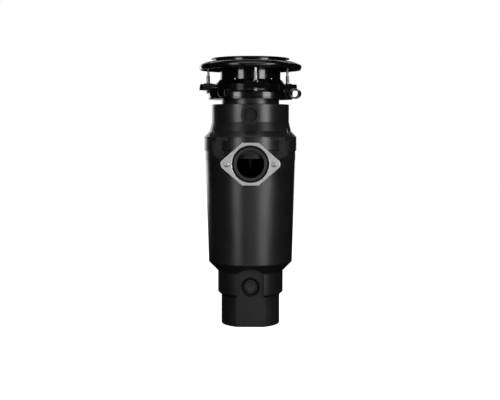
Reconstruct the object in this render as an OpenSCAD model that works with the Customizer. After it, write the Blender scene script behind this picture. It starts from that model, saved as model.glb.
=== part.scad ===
// Kitchen garbage disposal with its three-bolt sink mount. Millimetres, +Z up.
// The origin is the centre of the flat bottom, and -Y is the front, where the discharge is.

/* [Base housing] */
// Radius of the lower block of the base
lower_r = 42.5; // [38:0.1:45]
// Height of the lower block
lower_h = 42.5; // [36:0.5:52]
// Height of the chamfer between the two blocks
ledge_h = 4.6; // [3:0.1:6]
// Radius of the upper block
upper_r = 47.5; // [46:0.1:48]
// Height of the upper block
upper_h = 30.6; // [26:0.1:36]
// Height of the cone under the jacket
cone_h = 13.6; // [12:0.1:16]
// Wall of the base housing
base_wall = 3; // [2.4:0.1:3.6]
// Distance of the front flat from the axis
front_flat = 37.3; // [36:0.1:38.5]
// Half width of the arched niche in the upper block
niche_half_w = 19.6; // [17:0.1:21]
// Height of the reset button above the bottom
button_z = 57.8; // [54:0.1:60]
// Height of the arch's top above the button
arch_rise = 28.1; // [26:0.1:29]
// Radius of the niche's arched top
arch_r = 25; // [21:0.5:30]
// Thickness of the bottom cover
cover_t = 4; // [3:0.1:5]
// Radius of the posts that the bottom cover is screwed to
cover_post_r = 5.2; // [4.5:0.1:6]
// How far the posts run into the wall
post_sink = 0.4; // [0.2:0.1:1]

/* [Reset button] */
// Radius of the round well round the button
well_r = 14; // [12:0.1:15]
// Depth of the well
well_depth = 5; // [4:0.1:5.5]
// Radius of the protector's snout round the button
snout_r = 9.4; // [8.5:0.1:10]
// How far the snout stays behind the front flat
snout_set = 4; // [3:0.1:4.5]
// Radius of the button
button_r = 6.8; // [5:0.1:7.2]
// How far the button stands out of the snout's rim
button_out = 3.8; // [3.2:0.1:4.2]
// Travel of the button
button_travel = 3; // [1:0.1:3.5]
// Width of the overload protector's case
protector_w = 30; // [26:0.5:34]
// Height of the overload protector's case
protector_h = 24; // [21:0.5:28]
// Depth of the overload protector's case
protector_d = 22; // [21:0.5:26]

/* [Electrics in the base] */
// Radius of the cable hole in the bottom cover
cable_hole_r = 11.1; // [10:0.1:12]
// Place of the cable hole across
cable_hole_x = -14; // [-18:0.5:-13]
// Place of the cable hole front to back
cable_hole_y = 8; // [4:0.5:10]
// Width of the circuit board
board_w = 52; // [44:0.5:54]
// Height of the circuit board
board_h = 48; // [40:0.5:54]
// Thickness of the circuit board
board_t = 1.6; // [1:0.1:2.4]
// Distance of the circuit board behind the axis
board_y = 19; // [17:0.5:22]

/* [Motor] */
// Outer radius of the motor can
can_r = 50; // [46:0.1:52]
// Wall of the motor can
can_wall = 2.5; // [2:0.1:3]
// Length of the motor can
can_h = 107.5; // [104:0.5:118]
// Thickness of the lower end bell's flange
bell_flange_h = 4; // [3:0.1:6]
// Thickness of the upper end bell's flange
top_bell_h = 8; // [7:0.1:10]
// How far each end bell reaches into the can
spigot_h = 6; // [4:0.1:8]
// Thickness of the magnets
magnet_t = 8; // [6:0.1:8.5]
// Height of the magnets
magnet_h = 52; // [44:0.5:56]
// Arc that each magnet covers, in degrees
magnet_arc = 130; // [110:1:136]
// Air gap between magnets and armature
air_gap = 0.7; // [0.5:0.1:1.5]
// Height of the armature core
core_h = 44; // [36:0.5:50]
// Number of slots in the armature core
core_slots = 12; // [8:1:16]
// Width of an armature slot
slot_w = 4; // [3:0.1:4.5]
// Depth of an armature slot
slot_depth = 14; // [10:0.5:18]
// Height of the end turns of the windings
end_turn_h = 9; // [6:0.5:10]
// Radius of the commutator
commutator_r = 17; // [14:0.1:19]
// Height of the commutator
commutator_h = 18; // [16:0.5:20]
// Width of a brush
brush_w = 8; // [6:0.1:10]
// Height of a brush
brush_h = 10; // [8:0.1:12]
// Length of a brush
brush_len = 15; // [12:0.5:16]
// Distance of the through bolts from the motor can's inside
bolt_inset = 4; // [3.6:0.1:5]
// Radius of the through bolts
bolt_r = 2.4; // [2:0.1:2.6]

/* [Shaft and bearings] */
// Radius of the shaft inside the motor
shaft_r = 7; // [6.5:0.1:8]
// Radius of the shaft in the upper bearing and the seal
upper_journal_r = 6; // [5.6:0.1:6.4]
// Radius of the shaft in the lower bearing and of its threaded top
lower_journal_r = 5; // [4.5:0.1:5.4]
// Outer radius of the upper bearing
upper_bearing_r = 16; // [14:0.1:17]
// Height of the upper bearing
upper_bearing_h = 10; // [8:0.1:10.5]
// Outer radius of the lower bearing
lower_bearing_r = 15; // [13:0.1:16]
// Height of the lower bearing
lower_bearing_h = 9; // [7:0.1:9.5]
// Outer radius of the shaft seal
seal_r = 14; // [12:0.1:16]
// Height of the shaft seal
seal_h = 8; // [6:0.1:9]
// Running clearance of shafts, pins and the button
running = 0.05; // [0.02:0.01:0.08]
// Gap left where one round piece is set into another
seat_gap = 0.1; // [0.05:0.05:0.2]

/* [Jacket] */
// Outer radius of the jacket at its bottom
shell_low_r = 60.9; // [59:0.1:61.5]
// Outer radius of the jacket at its top
shell_top_r = 65; // [64:0.1:65.2]
// Height of the jacket
shell_h = 148.5; // [147:0.5:160]
// Wall of the jacket
shell_wall = 2.4; // [1.8:0.1:2.8]

/* [Drain chamber] */
// Outer radius of the drain chamber
chamber_r = 54.2; // [53.4:0.1:55]
// Wall of the drain chamber
chamber_wall = 2.6; // [2:0.1:3]
// Thickness of the drain chamber's floor
floor_t = 3.5; // [3:0.1:5]
// Outer radius of the skirt's lower band
skirt_low_r = 65.4; // [65:0.1:66]
// Height of the skirt's lower band
skirt_low_h = 13; // [11:0.5:15]
// Outer radius of the skirt's upper band and the hopper's rim
rim_r = 66.9; // [66.4:0.1:68]
// Height of the skirt's upper band
skirt_top_h = 15; // [14:0.5:18]
// Wall of the skirt
skirt_wall = 2.4; // [2:0.1:3]
// Distance of the front plates from the axis
plate_y = 39.6; // [39:0.1:42]
// Half width of the front recess
recess_half_w = 51.5; // [50:0.1:52]
// Height of the recess's outer corners above the jacket
recess_corner_h = 7.3; // [5:0.1:9]

/* [Discharge] */
// Height of the discharge's centre below the jacket's top edge
outlet_drop = 4.5; // [3:0.1:6]
// Distance of the outlet plate's front face from the axis
outlet_face = 68.6; // [68:0.1:70]
// Thickness of the outlet plate
outlet_plate_t = 3; // [2:0.1:3.2]
// Half height of the outlet plate
outlet_half_h = 29.9; // [28:0.1:31]
// Half length of the plate's flat top and bottom
outlet_flat_half = 11.8; // [9:0.1:14]
// Half spacing of the outlet screws
outlet_screw_at = 33.2; // [32:0.1:34]
// Radius of the plate's round ends
outlet_end_r = 8.3; // [7.5:0.1:9]
// Radius of the hole in the outlet plate
outlet_hole_r = 25.85; // [25:0.05:26]
// Outer radius of the discharge pipe's end
pipe_r = 23.2; // [22.5:0.1:23.8]
// Bore radius of the discharge pipe
pipe_bore_r = 19.6; // [18:0.1:20]
// Length of the discharge pipe's bore in front of its step
pipe_bore_len = 9.5; // [8:0.1:9.6]
// Half width of the port in the chamber wall behind the pipe
port_r = 19.3; // [16:0.1:19.5]
// Height of the port's straight top above the pipe's centre
port_top = 7.2; // [5:0.1:9]

/* [Hopper] */
// Height of the hopper's rim
rim_h = 5.5; // [5:0.1:7]
// Height of the bevelled shoulder over the rim
shoulder_h = 7.8; // [7:0.1:9]
// Radius at the top of the shoulder
shoulder_r = 59; // [58:0.1:60]
// Height of the cone over the shoulder
throat_cone_h = 13.1; // [10:0.1:15]
// Outer radius of the grinding chamber and the throat
throat_r = 56; // [55.4:0.1:56.2]
// Height of the straight throat
throat_h = 25.2; // [24:0.1:29]
// Wall of the hopper
hopper_wall = 2.5; // [2:0.1:2.5]
// Outer radius of the neck
neck_r = 41.8; // [41:0.1:42]
// Radius of the lip on top of the neck
lip_r = 46.8; // [45:0.1:46.9]
// Thickness of the lip
lip_t = 2.6; // [2:0.1:3]
// Distance of the rim's front cut from the axis
rim_cut_y = 46.1; // [45:0.1:48]
// Distance of the hopper screws from the axis
hopper_screw_at = 61.5; // [61:0.1:61.8]
// Angle of the first hopper screw from the front
hopper_screw_angle = 62; // [60:1:64]
// Outer radius of the dishwasher inlet
inlet_r = 12.4; // [11:0.1:12.6]
// Length of the inlet's stub in front of its collar
stub_len = 9.5; // [9:0.1:9.8]
// Bore radius of the dishwasher inlet
inlet_bore_r = 10.1; // [8.5:0.1:10.3]
// Distance of the inlet's mouth from the axis
inlet_face = 67; // [66:0.1:70]
// Height of the inlet's centre above the cone's top
inlet_rise = 9.5; // [9:0.1:12]
// Depth of the knock-out plug inside the inlet's mouth
plug_set = 4; // [3:0.1:5]

/* [Grinding parts] */
// Inner radius of the grind ring
ring_in_r = 50.5; // [50:0.1:51]
// Height of the grind ring
ring_h = 22; // [20:0.5:26]
// Number of slots in the grind ring
ring_slots = 24; // [16:1:30]
// Thickness of the grinding disc
disc_t = 2.4; // [2:0.1:3]
// Gap between the disc's edge and the grind ring
disc_gap = 0.6; // [0.4:0.1:1]
// Height of the disc above the chamber's top edge
disc_rise = 2; // [1.6:0.1:2.2]
// Distance of the impeller pins from the axis
pin_at = 30.3; // [29.5:0.1:30.6]
// Radius of the impeller pins
pin_r = 3; // [2.5:0.1:3.5]
// Reach of an impeller from its pin
impeller_reach = 19; // [16:0.1:19]
// Half width of an impeller
impeller_half_w = 6.5; // [5.5:0.1:7]
// Thickness of an impeller's plate
impeller_t = 6; // [4:0.1:6.5]
// Radius of the disc nut across its corners
nut_r = 9.5; // [8.5:0.1:10]
// Height of the disc nut
nut_h = 7; // [5:0.1:8]

/* [Sink mount] */
// Gap between the throat's top and the turning ring
ring_rise = 7.4; // [6:0.1:9]
// Outer radius of the turning ring
turn_ring_r = 60.6; // [59.8:0.1:61.2]
// Height of the turning ring's wall
turn_ring_h = 9; // [8.6:0.1:10]
// Sheet thickness of the turning ring
turn_sheet = 2.2; // [1.8:0.1:2.4]
// Outer radius of a rolled ear
ear_r = 7.5; // [7:0.1:7.6]
// Bore radius of a rolled ear
ear_bore_r = 5.4; // [5:0.1:5.6]
// Length of a rolled ear
ear_len = 16; // [13:0.5:18]
// Distance of the ears from the axis
ear_at = 66.2; // [66:0.1:67]
// Angle of the first ear from the front
ear_angle = -44.5; // [-47:0.5:-42]
// Angle that unlocks the turning ring
unlock_angle = 40; // [38:1:42]
// Outer radius of the collar of the upper mounting ring
collar_r = 51.8; // [51:0.1:52.4]
// Radius of the collar's lower edge
collar_low_r = 49.6; // [49.4:0.1:50]
// Wall of the upper mounting ring
collar_wall = 2; // [1.6:0.1:2.2]
// Height of the collar's wall
collar_h = 11.3; // [11:0.1:13]
// Height of the cone over the collar
collar_cone_h = 7.3; // [7:0.1:9]
// Distance of the mounting screws from the axis
lug_at = 68.2; // [67:0.1:69]
// Outer end of the lugs from the axis
lug_end = 76; // [75:0.1:77]
// Width of a lug
lug_w = 32; // [26:0.5:33]
// Height of a lug
lug_h = 9; // [8:0.1:10]
// How far a lug's front leans back over its height
lug_lean = 2; // [0.5:0.1:3]
// Angle of the first mounting screw from the front
lug_angle = 6; // [4:0.5:8]
// Outer radius of the mounting screws
screw_r = 2.9; // [2.5:0.1:3.2]
// Length of the mounting screws' threads
screw_len = 26; // [22:0.5:27]
// Radius of the screws' plain tips
screw_tip_r = 1.85; // [1.5:0.05:2.2]
// Outer radius of the sink sleeve
sleeve_r = 43.6; // [43:0.1:44]
// Wall of the sink sleeve
sleeve_wall = 1.8; // [1.4:0.1:2]
// Height of the sleeve between the cushion and the support ring's rim
sleeve_show_h = 40.5; // [38:0.5:46]
// Outer radius of the support ring
support_r = 74.4; // [72:0.1:76]
// Radius where the support ring's flat top ends
support_flat_r = 63.5; // [60:0.1:65]
// Height of the support ring
support_h = 11.5; // [10:0.1:13]
// Sheet thickness of the support ring
support_sheet = 2; // [1.6:0.1:2.4]
// Radius of the gasket under the sink flange
gasket_r = 52.4; // [50:0.1:54]
// Thickness of the gasket under the sink flange
gasket_t = 4; // [3:0.1:5]
// Radius of the sink flange's lip
flange_r = 57.1; // [56:0.1:58]
// Thickness of the sink flange's lip
flange_t = 1.5; // [1.2:0.1:2]
// Radius of the snap ring's wire
snap_wire_r = 1.1; // [0.9:0.05:1.2]
// Height of the rubber cushion on the neck
cushion_h = 7.8; // [7:0.1:9]
// Height of the splash guard
guard_h = 13; // [10:0.5:16]
// Radius of the splash guard's middle hole
guard_hole_r = 9; // [7:0.5:12]

/* [Hidden] */
$fn = 96;
eps = 0.02;      // overlap of cutters past the face that they cut
far = 200;       // length of a cutter that runs out of the part

// Heights, from the bottom up
ledge_z = lower_h + ledge_h;
cone_z = ledge_z + upper_h;
deck_z = cone_z + cone_h;
deck_t = base_wall;
shell_top_z = deck_z + shell_h;
rim_z = shell_top_z + skirt_low_h + skirt_top_h;
shoulder_z = rim_z + rim_h;
throat_cone_z = shoulder_z + shoulder_h;
throat_z = throat_cone_z + throat_cone_h;
neck_z = throat_z + throat_h;
turn_z = neck_z + ring_rise;
lip_z = turn_z + turn_sheet + 0.4;
cushion_z = lip_z + lip_t;
sleeve_z = cushion_z + cushion_h;
collar_z = turn_z + turn_ring_h + 0.4;
collar_top_z = collar_z + collar_h;
collar_cone_z = collar_top_z + collar_cone_h;
track_top_z = collar_z + 2;
hook_lip_z = track_top_z + 0.6;
hook_top_z = hook_lip_z + 1.6;
lug_z = hook_top_z + 0.4;
support_top_z = sleeve_z + sleeve_show_h;
flange_z = support_top_z + gasket_t;
can_z = deck_z + bell_flange_h;
can_top_z = can_z + can_h;
floor_z = can_top_z + top_bell_h;
floor_top_z = floor_z + floor_t;
seal_gasket_t = 1.2;                       // thickness of the flat gasket under the hopper
joint_z = shell_top_z + skirt_low_h + 1.5;   // where hopper and drain chamber meet
chamber_top_z = joint_z - seal_gasket_t;
outlet_z = shell_top_z - outlet_drop;
inlet_z = throat_z + inlet_rise;
disc_z = joint_z + disc_rise;
disc_top_z = disc_z + disc_t;

// Radii that follow from the others
throat_in_r = throat_r - hopper_wall;
neck_in_r = neck_r - hopper_wall;
chamber_in_r = chamber_r - chamber_wall;
can_in_r = can_r - can_wall;
bolt_at = can_in_r - bolt_inset;
magnet_in_r = can_in_r - magnet_t;
core_r = magnet_in_r - air_gap;
ring_out_r = throat_in_r - seat_gap;
disc_r = ring_in_r - disc_gap;
sleeve_in_r = sleeve_r - sleeve_wall;
track_r = turn_ring_r - turn_sheet - 1;
shell_in_low_r = shell_low_r - shell_wall;
shell_in_top_r = shell_top_r - shell_wall;
cover_r = lower_r - base_wall - 0.4;
cover_screw_at = lower_r - base_wall - cover_post_r + post_sink;
core_z = can_z + can_h / 2 - core_h / 2 + 16;
magnet_z = core_z + core_h / 2 - magnet_h / 2;
commutator_z = can_z + spigot_h + 6;
brush_z = commutator_z + commutator_h / 2;

// Small sizes that several pieces share
edge_r = 1;            // rounding of the moulded edges
small_screw_r = 1.6;   // cover and housing screws
head_h = 2.2;          // height of a small screw's head
head_r = 3.1;          // radius of a small screw's head
chamber_screw_r = 1.8; // hopper and outlet screws
clear = 0.3;           // gap between pieces that don't touch
cover_screw_angles = [0 : 120 : 240];
housing_screw_angles = [60 : 120 : 300];
hopper_screw_angles = [for (i = [0 : 4]) hopper_screw_angle + i * (360 - 2 * hopper_screw_angle) / 4];
lug_angles = [for (i = [0 : 2]) lug_angle + i * 120];
ear_angles = [for (i = [0 : 2]) ear_angle + i * 120];
hook_half = 14;        // half angle of a hook of the turning ring
track_half = 18;       // half angle of a track of the upper mounting ring

// Points of a round corner, drawn as an arc
function arc(x, z, r, from, to, steps = 6) =
  [for (i = [0 : steps]) let (a = from + (to - from) * i / steps) [x + r * cos(a), z + r * sin(a)]];

// Turns an outline, given as radius and height, round the axis
module turned(points) rotate_extrude() polygon(points);

// A straight ring standing on from_z
module ring(r_out, r_in, from_z, h) {
  translate([0, 0, from_z]) difference() {
    cylinder(h = h, r = r_out);
    translate([0, 0, -eps]) cylinder(h = h + 2 * eps, r = r_in);
  }
}

// Places children round the axis, at angles counted from the front towards +X
module around(angles, at) for (a = angles) rotate(a) translate([0, -at, 0]) children();

// A round bar along Y, from front_y backwards
module along_y(r, front_y, len, z = 0, x = 0, facets = 96) {
  translate([x, front_y, z]) rotate([-90, 0, 0]) cylinder(h = len, r = r, $fn = facets);
}

// Extrudes an outline, drawn as x and height, from front_y backwards
module front_cut(front_y, len) translate([0, front_y + len, 0]) rotate([90, 0, 0]) linear_extrude(len) children();

// ---- Base housing ----

module niche_outline(grow, low = 0) {
  half = niche_half_w + grow;
  from = acos(half / (arch_r + grow));
  polygon(concat([[-half, low], [half, low]],
    arc(0, button_z + arch_rise - arch_r, arch_r + grow, from, 180 - from, 24)));
}

module base_screw_post() {
  translate([0, 0, cover_t]) cylinder(h = 12, r = cover_post_r);
}

module base_housing() color("#17171a") {
  in_low = lower_r - base_wall;
  in_up = upper_r - base_wall;
  cone_wall = base_wall * sqrt(2);
  deck_in_z = deck_z - deck_t;
  spigot_r = shell_in_low_r - clear;
  difference() {
    union() {
      difference() {
        turned(concat(
          [[0, 0]], arc(lower_r - edge_r, edge_r, edge_r, -90, 0), [[lower_r, lower_h], [upper_r, ledge_z]],
          [[upper_r, cone_z]], [[shell_low_r, deck_z]], [[0, deck_z]]));
        turned([
          [0, -eps], [in_low, -eps], [in_low, lower_h + 1], [in_up, ledge_z + 1], [in_up, cone_z + 1.2],
          [in_up + deck_in_z - cone_z - 1.2, deck_in_z], [0, deck_in_z]]);
      }
      // walls behind the front flat and round the niche
      intersection() {
        turned([
          [0, 0], [lower_r - edge_r, 0], [lower_r - 0.2, edge_r], [lower_r - 0.2, lower_h], [upper_r - 0.2, ledge_z],
          [upper_r - 0.2, cone_z], [shell_low_r - 0.2, deck_z - 0.2], [0, deck_z - 0.2]]);
        front_cut(-far, far - front_flat + base_wall) niche_outline(base_wall);
      }
      // cup of the button's well
      along_y(well_r + base_wall, -front_flat, well_depth + base_wall, button_z);
      for (a = cover_screw_angles) rotate(a) translate([0, cover_screw_at, 0]) base_screw_post();
      for (s = [-1, 1]) board_rail(s);
      ring(spigot_r, spigot_r - base_wall, deck_z - eps, 5);
    }
    front_cut(-far, far - front_flat) {
      niche_outline(0, -1);
      translate([-far, -1]) square([far * 2, lower_h + 1]);
    }
    // funnel of the well, down to the snout
    translate([0, -front_flat - eps, button_z]) rotate([-90, 0, 0])
      cylinder(h = well_depth + eps, r1 = well_r, r2 = snout_r + clear);
    along_y(snout_r + clear, -front_flat, far / 4, button_z);
    translate([0, 0, deck_z - deck_t - eps]) cylinder(h = deck_t + 2 * eps, r = deck_hole_r);
    for (s = [-1, 1]) translate([s * bolt_at, 0, deck_z - deck_t - eps])
      cylinder(h = deck_t + 2 * eps, r = bolt_r + 3);
    around(housing_screw_angles, housing_screw_at) translate([0, 0, deck_z - deck_t - eps])
      cylinder(h = deck_t + 2 * eps, r = small_screw_r + clear);
    for (a = cover_screw_angles) rotate(a) translate([0, cover_screw_at, cover_t - eps])
      cylinder(h = 11, r = small_screw_r);
    for (s = [-1, 1]) board_slot(s);
  }
}
housing_screw_at = can_in_r - 5.5;   // distance of the housing screws from the axis
deck_hole_r = housing_screw_at - 6;  // opening of the deck round the lower bearing's pocket

module board_rail(side) {
  translate([side > 0 ? board_w / 2 - 1 : -board_w / 2 - 7, board_y - 2, board_z - 2]) cube([8, 6, board_h + 2]);
}
module board_slot(side) {
  translate([side > 0 ? board_w / 2 - 2 : -board_w / 2 - 0.2, board_y - 0.1, board_z])
    cube([2.2, board_t + 0.2, board_h + 1]);
}
board_z = 14;            // height of the circuit board's lower edge

module base_cover() color("#2b2b2e") difference() {
  intersection() {
    cylinder(h = cover_t, r = cover_r);
    translate([-far / 2, -front_flat + base_wall + 0.4, -eps]) cube([far, far, cover_t + 1]);
  }
  translate([cable_hole_x, cable_hole_y, -eps]) cylinder(h = cover_t + 2 * eps, r = cable_hole_r);
  for (a = cover_screw_angles) rotate(a) translate([0, cover_screw_at, 0]) {
    translate([0, 0, -eps]) cylinder(h = cover_t + 2 * eps, r = small_screw_r + 0.2);
    translate([0, 0, -eps]) cylinder(h = head_h + 0.4, r = head_r + clear);
  }
  translate([ground_x, ground_y, -eps]) {
    cylinder(h = cover_t + 2 * eps, r = 2.1);
    cylinder(h = head_h + 0.4, r = 4.4);
  }
}
ground_x = 16;           // place of the ground screw across
ground_y = 12;           // place of the ground screw front to back

// A screw whose slotted head faces down, with its shank up
module up_screw(shank_r, len, r = head_r) {
  difference() {
    cylinder(h = head_h, r = r);
    translate([-r, -0.4, -eps]) cube([2 * r, 0.8, 1 + eps]);
  }
  translate([0, 0, head_h - eps]) cylinder(h = len, r = shank_r - running);
}

module base_screws() color("#9a9ca0")
  for (a = cover_screw_angles) rotate(a) translate([0, cover_screw_at, 0.38]) up_screw(small_screw_r, 11);

module ground_screw() color("#3f8f4a") translate([ground_x, ground_y, 0.38]) up_screw(2, 7, 4);

// ---- Overload protector and button ----

snout_y = -front_flat + snout_set;
cup_back_y = -front_flat + well_depth + base_wall;
button_y = snout_y - button_out;
button_back_y = cup_back_y + 6;
spring_len = 10;         // length of the reset spring at rest
button_flange_r = 8.2;   // radius of the flange that keeps the button in

module overload_protector() color("#222225") difference() {
  union() {
    along_y(snout_r, snout_y, cup_back_y - snout_y + eps, button_z);
    translate([-protector_w / 2, cup_back_y, button_z - protector_h / 2])
      cube([protector_w, protector_d, protector_h]);
  }
  along_y(button_r + running, snout_y - eps, cup_back_y - snout_y + 6, button_z);
  along_y(button_flange_r + clear, button_back_y - 2.4, spring_len + 4.4, button_z);
}

module reset_button() color("#101012") difference() {
  union() {
    along_y(button_r, button_y, button_back_y - button_y, button_z);
    along_y(button_flange_r, button_back_y - 2, 2, button_z);
  }
  // dished face
  translate([0, button_y - 60 + 0.3, button_z]) sphere(r = 60, $fn = 192);
}

// Points of one ring of a coil's wire
function wire_ring(r, wire, z, a, sides) =
  [for (k = [0 : sides - 1]) let (w = k * 360 / sides)
    [(r + wire * cos(w)) * cos(a), (r + wire * cos(w)) * sin(a), z + wire * sin(w)]];

// A coil spring that stands on z = 0
module coil(r, wire, len, turns) {
  sides = 8;
  steps = turns * 14;
  rise = (len - 2 * wire) / steps;
  points = [for (i = [0 : steps]) each wire_ring(r, wire, wire + i * rise, i * 360 / 14, sides)];
  walls = [for (i = [0 : steps - 1], k = [0 : sides - 1])
    let (k2 = (k + 1) % sides, a = i * sides, b = a + sides) [a + k, b + k, b + k2, a + k2]];
  polyhedron(points, concat(walls, [[for (k = [0 : sides - 1]) k]],
    [[for (k = [sides - 1 : -1 : 0]) steps * sides + k]]));
}

module reset_spring() color("#b8bcc2")
  translate([0, button_back_y + 0.1, button_z]) rotate([-90, 0, 0]) coil(5, 0.5, spring_len - 0.2, 5);

// ---- Electrics ----

module circuit_board() color("#1d5a34")
  translate([-board_w / 2, board_y, board_z + 0.1]) cube([board_w, board_t, board_h]);

module bridge_rectifier() color("#1c1c1f") {
  translate([-12, board_y - 8.02, board_z + 30]) cube([24, 8, 12]);
}

// ---- Motor ----

pocket_h = 4;                                     // thickness under the lower bearing
lower_bearing_z = deck_z - 2.5;
module end_bell() color("#8f9296") difference() {
  union() {
    translate([0, 0, deck_z]) cylinder(h = bell_flange_h, r = can_r);
    translate([0, 0, can_z - eps]) cylinder(h = spigot_h, r = can_in_r - seat_gap);
    translate([0, 0, lower_bearing_z - pocket_h]) cylinder(h = deck_z - lower_bearing_z + pocket_h + eps, r = lower_bearing_r + 3.5);
  }
  translate([0, 0, lower_bearing_z]) cylinder(h = far, r = lower_bearing_r + seat_gap / 2);
  // dish that leaves the end bell hollow round the bearing
  difference() {
    translate([0, 0, can_z + 1]) cylinder(h = far, r = can_in_r - 10);
    cylinder(h = far, r = lower_bearing_r + 3.5);
  }
  for (s = [-1, 1]) translate([s * bolt_at, 0, 0]) cylinder(h = far, r = bolt_r + 0.2);
  around(housing_screw_angles, housing_screw_at) translate([0, 0, deck_z - eps]) cylinder(h = 8, r = small_screw_r);
}

module bearing(r_out, r_in, from_z, h) {
  groove = 0.6;
  mid = (r_out + r_in) / 2;
  half = (r_out - r_in) / 5;
  difference() {
    ring(r_out, r_in, from_z, h);
    for (z = [from_z - eps, from_z + h - groove]) ring(mid + half, mid - half, z, groove + eps);
  }
}

module lower_bearing() color("#c9ccd1") bearing(lower_bearing_r, lower_journal_r + running, lower_bearing_z, lower_bearing_h);

module upper_bearing() color("#c9ccd1") bearing(upper_bearing_r, upper_journal_r + running, upper_bearing_z, upper_bearing_h);

module housing_screws() color("#9a9ca0")
  around(housing_screw_angles, housing_screw_at)
    translate([0, 0, deck_z - deck_t - head_h]) up_screw(small_screw_r, deck_t + 7);

holder_wall = 1.6;       // wall of a brush holder
holder_y = commutator_r + 2;
holder_len = can_in_r - 2.5 - holder_y;   // length of a brush holder
module brush_holders() color("#6e4a22") for (s = [0, 180]) rotate(s) {
  w = brush_w / 2 + 0.1;
  h = brush_h / 2 + 0.1;
  difference() {
    union() {
      translate([-w - holder_wall, -holder_y - holder_len, brush_z - h - holder_wall])
        cube([2 * (w + holder_wall), holder_len, 2 * (h + holder_wall)]);
      translate([-w - holder_wall, -holder_y - holder_len, holder_foot_z])
        cube([2 * (w + holder_wall), 9, brush_z - holder_foot_z]);
    }
    translate([-w, -holder_y - holder_len + holder_wall, brush_z - h]) cube([2 * w, far, 2 * h]);
  }
}
holder_foot_z = can_z + spigot_h - eps;

module brushes() color("#2a2a2c") for (s = [0, 180]) rotate(s)
  difference() {
    translate([-brush_w / 2, -commutator_r - brush_len, brush_z - brush_h / 2]) cube([brush_w, brush_len, brush_h]);
    translate([0, 0, brush_z - brush_h]) cylinder(h = 2 * brush_h, r = commutator_r + 0.1);
  }

module brush_springs() color("#c98a3a") for (s = [0, 180]) rotate(s) {
  free_y = holder_y + holder_len - holder_wall - commutator_r - brush_len;
  translate([0, -commutator_r - brush_len - 0.1, brush_z]) rotate([90, 0, 0]) coil(3, 0.4, free_y - 0.2, 5);
}

module motor_can() color("#55585c") ring(can_r, can_in_r, can_z, can_h);

module magnets() color("#3a3a3d") for (s = [0, 180]) rotate(s - magnet_arc / 2 + 90)
  translate([0, 0, magnet_z]) rotate_extrude(angle = magnet_arc)
    translate([magnet_in_r, 0]) square([magnet_t - seat_gap, magnet_h]);

module through_bolts() color("#9a9ca0") for (s = [-1, 1]) translate([s * bolt_at, 0, deck_z - 3]) {
  cylinder(h = 3, r = bolt_r + 1.8, $fn = 6);
  translate([0, 0, 3 - eps]) cylinder(h = floor_top_z - deck_z + 4, r = bolt_r);
}

upper_bearing_z = can_top_z - 3;
module upper_end_bell() color("#8f9296") difference() {
  union() {
    translate([0, 0, can_top_z]) cylinder(h = top_bell_h, r = can_r);
    ring(can_in_r - seat_gap, can_in_r - 6, can_top_z - spigot_h, spigot_h + eps);
    translate([0, 0, upper_bearing_z - 2]) cylinder(h = 5, r = upper_bearing_r + 4);
  }
  translate([0, 0, upper_bearing_z]) cylinder(h = far, r = upper_bearing_r + seat_gap / 2);
  translate([0, 0, upper_bearing_z - 3]) cylinder(h = 4, r = shaft_r + 1);
  for (s = [-1, 1]) translate([s * bolt_at, 0, can_z + spigot_h]) cylinder(h = far, r = bolt_r + 0.2);
}

module motor_shaft() color("#d0d3d8") {
  shaft_low_z = lower_bearing_z + 0.5;
  body_z = lower_bearing_z + lower_bearing_h + 0.5;
  body_top_z = upper_bearing_z - 0.5;
  translate([0, 0, shaft_low_z]) cylinder(h = body_z - shaft_low_z + eps, r = lower_journal_r);
  translate([0, 0, body_z]) cylinder(h = body_top_z - body_z, r = shaft_r);
  translate([0, 0, body_top_z - eps]) cylinder(h = disc_z - body_top_z + eps, r = upper_journal_r);
  translate([0, 0, disc_z - eps]) cylinder(h = disc_t + nut_h + 1.5, r = lower_journal_r);
}

module slot_bars(w, depth, z, h) for (i = [0 : core_slots - 1]) rotate(i * 360 / core_slots)
  translate([core_r - 1.5 - depth, -w / 2, z]) cube([depth, w, h]);

module armature_core() color("#70747a") difference() {
  ring(core_r, shaft_r + running, core_z, core_h);
  slot_bars(slot_w, slot_depth, core_z - eps, core_h + 2 * eps);
  for (i = [0 : core_slots - 1]) rotate(i * 360 / core_slots)
    translate([core_r - 2, -0.9, core_z - eps]) cube([4, 1.8, core_h + 2 * eps]);
}

module armature_windings() color("#a4521c") {
  in_r = core_r - 1.5 - slot_depth;
  union() {
    for (z = [core_z - end_turn_h, core_z + core_h]) difference() {
      turned(concat(
        arc(core_r - 5, z + 3, 3, -90, 0), arc(core_r - 5, z + end_turn_h - 3, 3, 0, 90),
        arc(in_r - 3, z + end_turn_h - 3, 3, 90, 180), arc(in_r - 3, z + 3, 3, 180, 270)));
      cylinder(h = far * 2, r = shaft_r + 1);
    }
    slot_bars(slot_w - 0.2, slot_depth - 0.2, core_z - 1, core_h + 2);
  }
}

module commutator() color("#b9702f") difference() {
  ring(commutator_r, shaft_r + running, commutator_z, commutator_h);
  for (i = [0 : 2 * core_slots - 1]) rotate(i * 180 / core_slots)
    translate([commutator_r - 0.8, -0.3, commutator_z + 2]) cube([2, 0.6, commutator_h]);
}

// ---- Jacket ----

// Outline of the outlet plate, smaller or larger by grow
module outlet_outline(grow) {
  c = [outlet_screw_at, 0];
  p = [outlet_flat_half + grow / 2, outlet_half_h + grow];
  r = outlet_end_r + grow;
  reach = norm(p - c);
  a = atan2(p[1], p[0] - c[0]) - acos(r / reach);
  translate([0, outlet_z]) polygon(concat(
    [p], arc(c[0], 0, r, a, -a, 16), [[p[0], -p[1]], [-p[0], -p[1]]],
    arc(-c[0], 0, r, 180 + a, 180 - a, 16), [[-p[0], p[1]]]));
}
boss_inset = 1.2;        // how far the outlet boss stays inside the plate's outline

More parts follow.
